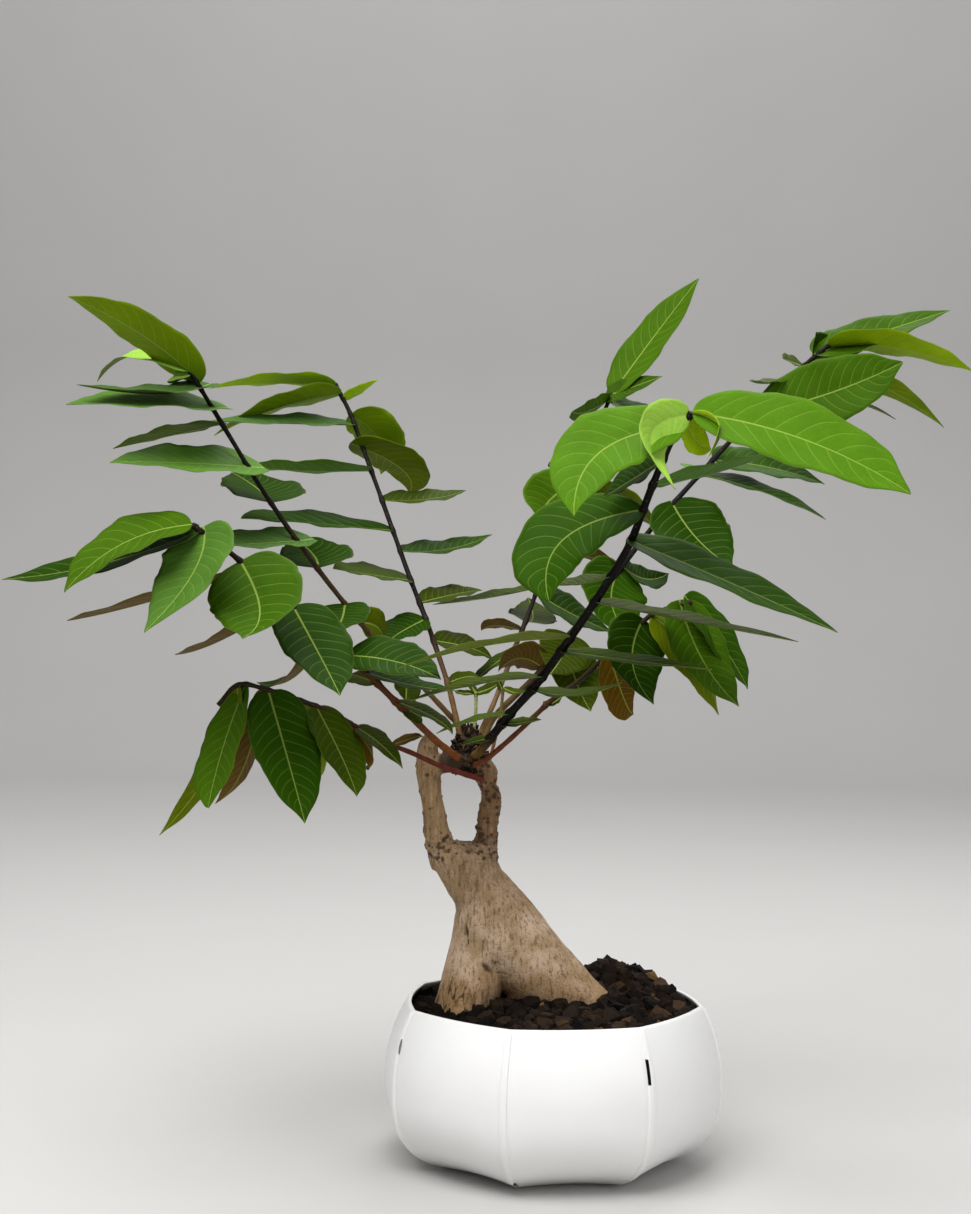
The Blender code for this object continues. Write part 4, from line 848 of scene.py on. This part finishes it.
        "path": ((473, 738, 2), (475, 722, 3), (476, 706, 4), (476, 692, 5)),
        "thick": (1.6, 1.4), "bark": ("#7d8450", "#8c9456"), "barkTurns": 1,
        "leaves": (
            (476, 693, 500, 681, 488, 693, 486, 684, -4, 8, "deep"),
            (476, 694, 455, 690, 464, 695, 465, 690, 2, 6, "deep"),
            (476, 693, 471, 683, 471, 690, 475, 686, 4, 4, "deep"),
        ),
    },
    "shoot_tan": {
        "path": ((486, 769, 1), (491, 755, 1), (496, 735, -1), (501, 710, -3), (503, 688, -5)),
        "thick": (1.7, 1.4), "bark": ("#7a4a34", "#7d6c40"), "barkTurns": 1,
        "leaves": (
            (503, 688, 526, 690, 513, 694, 513, 688, -6, 8, "deep"),
            (503, 691, 496, 680, 502, 683, 497, 686, 5, 5, "deep"),
        ),
    },
}


def footOnStem(path, x, y):
    # the point of the stem that is seen nearest to the leaf's foot
    return path[np.argmin(np.sum((pixelOf(path) - [x, y]) ** 2, axis=1))]


def bladeSurface(leaf, path, stemRadius, rng):
    # the spine is a quadratic curve through foot, widest place and tip; the blade reaches out from it on
    # both sides by u^a (1-u)^b of its half width, as a share of that where u is w, drawn in to a drip
    # tip and with slightly uneven edges; it is folded up along the midrib, with waves and finer ripples
    # of sines along its edges and a bell-shaped dip on the midrib; v runs from -1 to 1 across it
    p = leafPlan
    footX, footY, tipX, tipY, nearX, nearY, farX, farY, deep, wide, tone, w, heel, under = leaf
    foot = footOnStem(path, footX, footY)
    if heel > 0:
        foot = foot + unit(eye - foot) * math.copysign(p["heelShift"] * stemRadius, -deep)
    depth = foot[1] / mm
    widest = depth + w * deep
    tip = sight(tipX, tipY, depth + deep)
    seen = np.linalg.norm(sight(farX, farY, widest) - sight(nearX, nearY, widest)) / mm
    slant = math.sqrt(max(wide ** 2 - seen ** 2, 0.0))
    near = sight(nearX, nearY, widest - slant / 2.0)
    far = sight(farX, farY, widest + slant / 2.0)
    half = np.linalg.norm(far - near) / 2.0
    fold = math.radians(p["foldDegrees"])
    middle = (near + far) / 2.0
    # the folded edges stand above the midrib: its middle is moved below them and the curve made again
    for k in range(2):
        handle = (middle - foot * (1.0 - w) ** 2 - tip * w ** 2) / (2.0 * w * (1.0 - w))
        along = unit((handle - foot) * (1.0 - w) + (tip - handle) * w)
        aside = unit(far - near)
        aside = unit(aside - along * (aside @ along))
        facing = np.cross(along, aside) @ (eye - middle)
        turn = 1.0 if (facing > 0.0) != bool(under) else -1.0
        middle = (near + far) / 2.0 - np.cross(along, aside) * turn * half * math.sin(fold)
    back = heel * mm / np.linalg.norm(tip - foot)
    s = np.linspace(0.0, 1.0, p["rows"])
    u = (0.55 * s + 0.45 * (0.5 - 0.5 * np.cos(math.pi * s)))[:, None]    # rows crowd at both ends
    v = np.linspace(-1.0, 1.0, p["columns"])[None, :]
    t = u * (1.0 + back) - back
    spine = foot * (1.0 - t) ** 2 + handle * 2.0 * t * (1.0 - t) + tip * t ** 2
    onward = unit((handle - foot) * (1.0 - t) + (tip - handle) * t)
    # the way across, carried along the spine by the shortest turn from its direction at the widest place
    across = aside - ((onward @ aside) / (1.0 + onward @ along))[:, None] * (along + onward)
    up = np.cross(onward, across) * turn
    tipPower = p["tipPower"][0] - p["tipPower"][1] * (w - p["usual"][0])
    footPower = p["footShare"] * tipPower * w / (1.0 - w)
    share = (np.maximum(u, 1e-6) / w) ** footPower * (np.maximum(1.0 - u, 0.0) / (1.0 - w)) ** tipPower
    share = share * (1.0 - p["dripTip"] * smoothStep(0.82, 1.0, u))
    ragged = 1.0
    for rate, most in p["ragged"]:
        ragged = ragged + most * np.sin(rate * u + rng.uniform(0.0, 6.3))
    width = np.maximum(half * share * ragged, p["stubHalf"] * (1.0 - u) ** 2 + p["tipHalf"])
    phase = 0.37 * footX + 0.23 * tipY
    waves, waveShare = p["waves"]
    ripples, rippleShare = p["ripples"]
    wave = waveShare * np.sin(2.0 * math.pi * waves * u + phase + 1.7 * v) * np.abs(v)
    ripple = rippleShare * np.sin(2.0 * math.pi * ripples * u + 2.0 * phase + 2.3 * v) * v ** 2
    dip, dipHalf = p["ribDip"]
    lift = width * np.abs(v) * (math.sin(fold) + wave + ripple)
    lift -= dip * np.exp(-(v * width / dipHalf) ** 2) * smoothStep(0.0, 0.1, u)
    points = (spine[:, None] + across[:, None] * (width * v * math.cos(fold))[..., None]
              + up[:, None] * lift[..., None])
    return points, up, turn, width, u, v


def leafSheets(leaf, path, stemRadius, rng):
    # an upper and a lower sheet and a rim between them, with each point's tint and its place on the blade
    p = leafPlan
    points, up, turn, width, u, v = bladeSurface(leaf, path, stemRadius, rng)
    rows, columns = p["rows"], p["columns"]
    count = rows * columns
    thin = up[:, None] * (p["thickness"] / 2.0) * (1.0 - p["thinEdge"] * np.abs(v) ** 4)[..., None]
    quads = gridFaces(rows, columns)
    ring = np.concatenate([np.arange(columns), np.arange(2, rows + 1) * columns - 1,
                           count - 2 - np.arange(columns - 1), np.arange(rows - 2, 0, -1) * columns])
    onward = np.roll(ring, -1)
    wall = np.stack([onward, ring, ring + count, onward + count], -1)
    faces = np.vstack([quads, quads[:, ::-1] + count, wall])
    if turn > 0.0:
        faces = faces[:, ::-1]
    tone, under = p["upperTones"][leaf[10]], leaf[13]
    sides = (p["hiddenUpper"], tone) if under else (tone, p["hiddenUnder"])
    spread, darkest = p["toneSpread"]
    tint = np.ones((2, count, 4))
    tint[:] = [[hexColour(text)] for text in sides]
    tint[..., :3] *= max(1.0 + spread * rng.normal(), darkest)
    place = np.ones((2, rows, columns, 4))
    place[..., 0] = np.abs(v) * width / mm       # millimetres from the midrib
    place[..., 1] = rng.uniform()                # one random share for each leaf
    place[1, ..., 2] = 0.0                       # 1 on the upper side
    uv = np.stack(np.broadcast_arrays(u, (v + 1.0) / 2.0), -1).reshape(-1, 2)
    sheets = np.vstack([(points + thin).reshape(-1, 3), (points - thin).reshape(-1, 3)])
    return sheets, faces, tint.reshape(-1, 4), place.reshape(-1, 4), np.vstack([uv, uv])


def makeFrond(name, plan, leafMaterial, stemMaterial):
    # a tube along a smooth curve through the path's knots, which thins evenly from foot to tip and
    # swells by a bell where a leaf stands, and the two sheets of each leaf
    p = leafPlan
    rng = np.random.default_rng(p["seed"] + int(plan["path"][-1][0]))
    knots = sight(*np.array(plan["path"], float).T)
    root = knots[0] + unit(knots[0] - knots[1]) * p["rootReach"] + [0.0, p["rootReach"] * 0.6, 0.0]
    path = smoothPath(np.vstack([root, knots]), p["stemSteps"])    # it starts inside the crown
    share = np.linspace(0.0, 1.0, len(path))
    footThick, tipThick = plan["thick"]
    radii = (footThick + (tipThick - footThick) * share) / 2.0 * mm
    fromRoot = np.linalg.norm(path - path[0], axis=1)
    radii = radii * (1.0 - 0.5 * smoothStep(2.0 * p["rootReach"], 0.0, fromRoot))
    leaves = [leaf + p["usual"][len(leaf) - 11:] for leaf in plan["leaves"]]
    most, reach = p["nodeSwell"]
    swell = np.zeros(len(path))
    for leaf in leaves:
        far = np.linalg.norm(path - footOnStem(path, leaf[0], leaf[1]), axis=1)
        swell = np.maximum(swell, np.exp(-(far / reach) ** 2))
    uneven, rate = p["stemUneven"]
    radii = radii * (1.0 + most * swell) + uneven * np.sin(rate * share)
    points, quads, caps = tube(path, radii, p["stemSides"])
    first, last = (np.array(hexColour(text)) for text in plan["bark"])
    run = np.concatenate([[0.0], np.cumsum(np.linalg.norm(np.diff(path, axis=0), axis=1))])
    blend = smoothStep(0.0, plan["barkTurns"], run / run[-1])[:, None]
    stemTint = np.vstack([np.repeat(first + (last - first) * blend, p["stemSides"], axis=0), first, last])
    blank = np.zeros((len(points), 4))
    parts = [leafSheets(leaf, path, (footThick + tipThick) / 4.0 * mm, rng) for leaf in leaves]
    sheets, faces, tint, place, uv = zip((points, None, stemTint, blank, blank[:, :2]), *parts)
    starts = np.cumsum([len(sheet) for sheet in sheets])
    faceSets = [quads, caps] + [each + start for each, start in zip(faces[1:], starts)]
    onStem = np.arange(sum(len(each) for each in faceSets)) < len(quads) + len(caps)
    piece = meshPiece(name + "Leaves", np.vstack(sheets), faceSets, [leafMaterial, stemMaterial],
                      uv=np.vstack(uv), colours={"tint": np.vstack(tint), "blade": np.vstack(place)},
                      slots=onStem)
    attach(piece, "root")
    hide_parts(name)
    print(name + ":", len(leaves), "leaves,", len(piece.data.polygons), "faces")


# materials, as tables of nodes. A row names its node's result, then gives the kind of node and its
# inputs: values, colours, earlier results, or one output of an earlier node after a dot. A kind: the
# node's type, its settings (None stands for the row's own name), the inputs that rows give in their
# order, and the output that is the result. Any other kind is an operation of the maths node
nodeKinds = {
    "attribute": ("ShaderNodeAttribute", {"attribute_name": None}, (), 0),
    "uvMap": ("ShaderNodeUVMap", {"uv_map": "UVMap"}, (), 0),
    "split": ("ShaderNodeSeparateXYZ", {}, (0,), 0),
    "stretch": ("ShaderNodeMapping", {}, ("Vector", "Scale"), 0),
    "noise": ("ShaderNodeTexNoise", {}, ("Vector", "Scale", "Detail", "Roughness"), 0),
    "cells": ("ShaderNodeTexVoronoi", {}, ("Vector", "Scale"), 0),
    "cellEdges": ("ShaderNodeTexVoronoi", {"feature": "DISTANCE_TO_EDGE"}, ("Vector", "Scale"), 0),
    "ramp": ("ShaderNodeMapRange", {"interpolation_type": "SMOOTHSTEP"}, (0, 1, 2, 3, 4), 0),
    "scale": ("ShaderNodeVectorMath", {"operation": "SCALE"}, (0, "Scale"), 0),
    "mix": ("ShaderNodeMix", {"data_type": "RGBA"}, (0, 6, 7), 2),
    "bump": ("ShaderNodeBump", {}, ("Height", "Distance", "Strength"), 0),
}


def addNode(tree, kind, settings, inputs):  # a node with its settings, values and links
    node = tree.nodes.new(kind)
    for key, value in settings.items():
        setattr(node, key, value)
    for key, value in inputs.items():
        if isinstance(value, bpy.types.NodeSocket):
            tree.links.new(value, node.inputs[key])
        else:
            node.inputs[key].default_value = value
    return node


def makeMaterial(name, settings, rows):
    # a Principled material: the settings go on its sockets, and the results named colour, roughness and
    # bump are linked to it
    material = bpy.data.materials.new(name)
    material.use_nodes = True
    tree = material.node_tree
    shader = tree.nodes["Principled BSDF"]
    for key, value in settings.items():
        shader.inputs[key].default_value = value
    known = {"coords": (addNode(tree, "ShaderNodeTexCoord", {}, {}), "Object")}

    def found(value):  # what a text in a row stands for
        if not isinstance(value, str):
            return value
        if value.startswith("#"):
            return hexColour(value)
        node, output = known[value.split(".")[0]]
        return node.outputs[value.split(".")[1] if "." in value else output]

    for result, kind, *values in rows:
        maths = ("ShaderNodeMath", {"operation": kind}, (0, 1, 2), 0)
        nodeType, own, keys, output = nodeKinds.get(kind, maths)
        own = {key: result if value is None else value for key, value in own.items()}
        known[result] = (addNode(tree, nodeType, own, dict(zip(keys, map(found, values)))), output)
    for result, socket in (("colour", "Base Color"), ("roughness", "Roughness"), ("bump", "Normal")):
        if result in known:
            tree.links.new(found(result), shader.inputs[socket])
    return material


def layers(*table):
    # rows that lay colours over the colour so far: each fades in as its value goes from low to high, to
    # the most it covers
    return [row for value, low, high, most, over in table for row in
            (("share", "ramp", value, low, high, 0.0, most), ("colour", "mix", "share", "colour", over))]


# noise and cells are scaled by perMm over their size in millimetres
perMm = 1.0 / mm
# living leaf, waxy skin on both sides: satin gloss in soft patches, a pale midrib, looping side veins
# every 4 to 5 mm with the blade slightly puffed up between them, a net of 1.6 mm cells
leafRows = [
    ("tint", "attribute"),
    ("blade", "attribute"),
    ("place", "split", "blade.Vector"),    # millimetres from the midrib, a chance, 1 on the upper side
    ("uv", "uvMap"),
    ("at", "split", "uv"),    # along and across the blade
    ("signed", "MULTIPLY_ADD", "at.Y", 2.0, -1.0),
    ("side", "ABSOLUTE", "signed"),
    ("ribHalf", "MULTIPLY_ADD", "at.X", -0.40, 0.62),    # millimetres
    ("offRib", "DIVIDE", "place.X", "ribHalf"),
    ("midrib", "ramp", "offRib", 1.15, 0.45),
    # side veins: they leave the midrib and bend towards the tip, eleven or so a side
    ("cubed", "POWER", "side", 3.0),
    ("curl", "MULTIPLY", "cubed", 0.08),
    ("bow", "MULTIPLY_ADD", "side", 0.12, "curl"),
    ("straight", "SUBTRACT", "at.X", "bow"),
    ("veins", "MULTIPLY_ADD", "place.Y", 3.0, 10.0),
    ("rightHalf", "GREATER_THAN", "at.Y", 0.5),
    ("first", "MULTIPLY_ADD", "rightHalf", 0.5, "place.Y"),
    ("rank", "MULTIPLY_ADD", "straight", "veins", "first"),
    ("part", "FRACT", "rank"),
    ("offHalf", "SUBTRACT", "part", 0.5),
    ("offVein", "ABSOLUTE", "offHalf"),    # 0 on a vein, 0.5 between
    ("fadeOut", "ramp", "side", 0.97, 0.72),
    ("fadeIn", "ramp", "at.X", 0.03, 0.10),
    ("fade", "MULTIPLY", "fadeOut", "fadeIn"),
    ("thinLine", "ramp", "offVein", 0.070, 0.01),
    ("vein", "MULTIPLY", "thinLine", "fade"),
    ("bulge", "ramp", "offVein", 0.0, 0.30),
    ("puff", "MULTIPLY", "bulge", "fade"),
    ("net", "cellEdges", "coords", perMm / 1.6),
    ("cell", "ramp", "net", 0.0, 0.16),
    ("patch", "noise", "coords", perMm / 14.0, 3.0),
    ("fine", "noise", "coords", perMm / 1.3, 2.0),
    ("patchShade", "MULTIPLY_ADD", "patch", 0.50, 0.75),
    ("cellShade", "MULTIPLY_ADD", "cell", 0.06, 0.95),
    ("fineShade", "MULTIPLY_ADD", "fine", 0.16, 0.92),
    ("shade", "MULTIPLY", "patchShade", "cellShade"),
    ("shade", "MULTIPLY", "shade", "fineShade"),
    ("toned", "scale", "tint", "shade"),
    ("paleVein", "mix", 0.50, "toned", "#a9c05a"),
    ("ribShare", "MULTIPLY", "midrib", 0.85),
    ("veinMost", "MULTIPLY_ADD", "place.Z", -0.09, 0.36),
    ("veinShare", "MULTIPLY", "vein", "veinMost"),
    ("line", "MAXIMUM", "ribShare", "veinShare"),
    ("colour", "mix", "line", "toned", "paleVein"),
    *layers(("side", 0.93, 1.0, 0.22, "#7a8a3e")),
    ("roughness", "MULTIPLY_ADD", "patch", 0.24, 0.40),
    ("height", "MULTIPLY", "puff", 0.50),
    ("height", "MULTIPLY_ADD", "cell", 0.08, "height"),
    ("height", "MULTIPLY_ADD", "fine", 0.10, "height"),
    ("height", "MULTIPLY_ADD", "midrib", -0.5, "height"),
    ("bump", "bump", "height", 0.30 * mm, 0.5),
]
# green wood under thin bark: dull, dark, with fine streaks and pale corky dots
stemRows = [
    ("tint", "attribute"),
    ("streak", "noise", "coords", perMm / 2.2, 4.0),
    ("dots", "cells", "coords", perMm / 2.4),
    ("shade", "MULTIPLY_ADD", "streak", 1.1, 0.45),
    ("colour", "scale", "tint", "shade"),
    *layers(("dots", 0.24, 0.10, 0.30, "#6d5a43")),
    ("bump", "bump", "shade", 0.25 * mm, 0.6),
]
# old bark of a swollen trunk, shed in thin flakes: matt, tan and pinkish grey in 13 mm patches, fine
# vertical checks, dark lenticels, browner stems, an ochre stain where it meets the soil, and painted
# shade in the recesses and on the arm beside the crown
barkRows = [
    ("barkMarks", "attribute"),
    ("mark", "split", "barkMarks.Vector"),    # darkness with painted shade in recesses, crown with painted shade on the arm, ochre
    ("place", "split", "coords"),
    ("grain", "stretch", "coords", (1.0, 1.0, 0.22)),
    ("patch", "noise", "coords", perMm / 13.0, 5.0, 0.6),
    ("checks", "noise", "grain", perMm / 1.5, 4.0, 0.65),
    ("speck", "noise", "coords", perMm / 0.9, 3.0),
    ("rightward", "ramp", "place.X", -46.0 * mm, -36.0 * mm),
    ("stems", "mix", "rightward", "#947753", "#6c4e2f"),
    ("pinkish", "ramp", "patch", 0.38, 0.62),
    ("colour", "mix", "pinkish", "#a38968", "#c6aa8f"),
    *layers(("patch", 0.58, 0.70, 0.7, "#d0b6a2"),
            ("mark.Z", 0.1, 0.9, 0.60, "#9a7646"),
            ("barkMarks.Alpha", 0.1, 1.0, 0.88, "stems"),
            ("checks", 0.49, 0.36, 0.62, "#5c452e"),
            ("checks", 0.56, 0.68, 0.30, "#d0b697"),
            ("speck", 0.42, 0.32, 0.55, "#4a3725"),
            # dark warts and cut top, and painted shade in the cracks, bands, folds and knobs' dips
            ("mark.X", 0.15, 0.9, 0.88, "#322317"),
            # the crown's own dark, and painted shade on the arm beside it
            ("mark.Y", 0.2, 0.9, 0.92, "#241a15")),
    ("height", "ADD", "checks", "speck"),
    ("bump", "bump", "height", 0.5 * mm, 0.8),
]
# the imported fines between the grains: matt, with grit of 2 mm, and near black, partly their own
# dark colour and partly painted shade of the gaps between grains
finesRows = [
    ("grit", "cells", "coords", perMm / 2.0),
    ("clouds", "noise", "coords", perMm, 4.0),
    ("colour", "mix", "clouds", "#0d0a08", "#1e1713"),
    ("bump", "bump", "grit", 0.8 * mm, 0.9),
]
# injection-moulded polypropylene, filled white: an even, slightly warm white with a soft satin sheen,
# a grain of 0.5 mm from the mould, faint scuffs, and greyer over the lowest 9 mm
potRows = [
    ("clouds", "noise", "coords", perMm / 30.0, 3.0),
    ("grain", "noise", "coords", perMm / 0.5, 2.0),
    ("drawn", "stretch", "coords", (1.0, 1.0, 0.15)),
    ("scuffs", "noise", "drawn", perMm / 4.0, 5.0, 0.7),
    ("place", "split", "coords"),
    ("soilMark", "attribute"),
    ("colour", "mix", "clouds", "#e6e5e4", "#ededec"),
    # the lowest 9 mm turn greyer towards the foot
    *layers(("scuffs", 0.64, 0.80, 0.30, "#c9c7c3"), ("place.Z", 9.0 * mm, 0.0, 0.5, "#d3d0cb")),
    # painted shade: the inner wall below the lip is mixed to near black
    ("colour", "mix", "soilMark.Fac", "colour", "#17120f"),
    ("roughness", "MULTIPLY_ADD", "scuffs", 0.25, 0.30),
    ("bump", "bump", "grain", 0.03 * mm, 0.4),
]


def grainyRows(grit, depth):
    # a dry grainy surface in the piece's own tint: shaded by noise at the grit's size, and rough
    return [
        ("tint", "attribute"),
        ("grain", "noise", "coords", 1.0 / grit, 4.0, 0.7),
        ("shade", "MULTIPLY_ADD", "grain", 1.2, 0.4),
        ("colour", "scale", "tint", "shade"),
        ("bump", "bump", "grain", depth, 0.9),
    ]


# the studio: a pale floor that curves up into a backdrop, soft light from above and the front, and a
# light that shines on the wall, away from the plant
studioPlan = {
    "floorColours": ("#b8b7b5", "#bdbcba"),
    "frontEdge": -3.0,
    "flatBack": 1.8,
    "curve": 0.7,
    "wallTop": 3.0,
    "halfWidth": 3.2,
    # a light: its place, what it shines on, its diameter and its watts
    "lights": {
        "keyLight": ((-0.35, -0.55, 1.35), (0.0, 0.0, 0.15), 1.1, 24.0),
        "fillLight": ((0.9, -0.9, 0.6), (0.0, 0.0, 0.18), 1.0, 4.0),
        "backLight": ((0.3, 0.75, 1.1), (0.0, 0.0, 0.25), 0.8, 4.5),
        "wallLight": ((0.0, 1.2, 2.9), (0.0, 2.6, 0.5), 1.8, 30.0),
    },
    "worldColour": "#eeeeef",
    "worldStrength": 0.44,
}


def makeStudio():
    p = studioPlan
    material = makeMaterial("paintedBackdrop", {"Roughness": 0.8}, [
        ("clouds", "noise", "coords", 4.0), ("colour", "mix", "clouds", *p["floorColours"])])
    # profile: flat floor, a quarter circle, an upright wall
    arc = np.linspace(0.0, math.pi / 2.0, 24)
    back, curve = p["flatBack"], p["curve"]
    y = np.concatenate([[p["frontEdge"]], back + curve * np.sin(arc), [back + curve]])
    z = np.concatenate([[0.0], curve * (1.0 - np.cos(arc)), [p["wallTop"]]])
    x = np.array([-p["halfWidth"], p["halfWidth"]])
    points = np.stack(np.broadcast_arrays(x[None, :], y[:, None], z[:, None]), -1).reshape(-1, 3)
    meshPiece("studioFloor", points, [gridFaces(len(y), 2)], [material])
    for name, (place, aim, size, watts) in p["lights"].items():
        light = bpy.data.lights.new(name, "AREA")
        light.shape = "DISK"
        light.size = size
        light.energy = watts
        lamp = bpy.data.objects.new(name, light)
        lamp.location = place
        away = unit(np.array(place) - np.array(aim))
        lamp.rotation_euler = (math.acos(away[2]), 0.0, math.atan2(away[0], -away[1]))
        bpy.context.scene.collection.objects.link(lamp)
    world = bpy.data.worlds.new("softRoom")
    world.use_nodes = True
    background = world.node_tree.nodes["Background"]
    background.inputs["Color"].default_value = hexColour(p["worldColour"])
    background.inputs["Strength"].default_value = p["worldStrength"]
    bpy.context.scene.world = world
    bpy.context.scene.view_settings.view_transform = "Standard"    # colours as a camera gives them


def makeCamera():
    # the photograph's view: 971 x 1214 pixels, focus in pixels, looking along +Y
    lens = bpy.data.cameras.new("photoView")
    lens.sensor_fit = "HORIZONTAL"
    lens.sensor_width = 36.0
    lens.lens = view["focus"] / view["width"] * lens.sensor_width
    lens.clip_start = 0.01
    camera = bpy.data.objects.new("photoView", lens)
    camera.location = view["eye"]
    camera.rotation_mode = "XYZ"
    camera.rotation_euler = (math.pi / 2.0, -math.radians(view["rollDegrees"]), 0.0)
    bpy.context.scene.collection.objects.link(camera)
    bpy.context.scene.camera = camera


makeCamera()
makeStudio()
print("camera and studio ready")
potPlastic = makeMaterial("whiteMouldedPolypropylene", {"Roughness": 0.38, "IOR": 1.49}, potRows)
packedFines = makeMaterial("packedFines", {"Roughness": 0.95, "Specular IOR Level": 0.1}, finesRows)
lavaGrit = makeMaterial("crushedLava", {"Roughness": 0.92, "Specular IOR Level": 0.1},
                        grainyRows(1.2 * mm, 0.35 * mm))
trunkBark = makeMaterial("flakyTrunkBark", {"Roughness": 0.85, "IOR": 1.45, "Specular IOR Level": 0.3},
                         barkRows)
budScale = makeMaterial("dryBudScale", {"Roughness": 0.8, "Specular IOR Level": 0.2},
                        grainyRows(1.0 * mm, 0.2 * mm))
waxyLeaf = makeMaterial("waxyLeaf", {"IOR": 1.45, "Specular IOR Level": 0.035}, leafRows)
youngBark = makeMaterial("youngBark", {"Roughness": 0.60, "IOR": 1.45, "Specular IOR Level": 0.15},
                         stemRows)
print("materials ready")
# the fines also serve as painted shade inside the vent slit
makePot(potPlastic, packedFines)
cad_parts["soil"].material_slots[0].material = packedFines
makeGrains(lavaGrit)
makeCrownScales(budScale, *makeCaudex(trunkBark))
for frondName, frondPlan in frondPlans.items():
    makeFrond(frondName, frondPlan, waxyLeaf, youngBark)
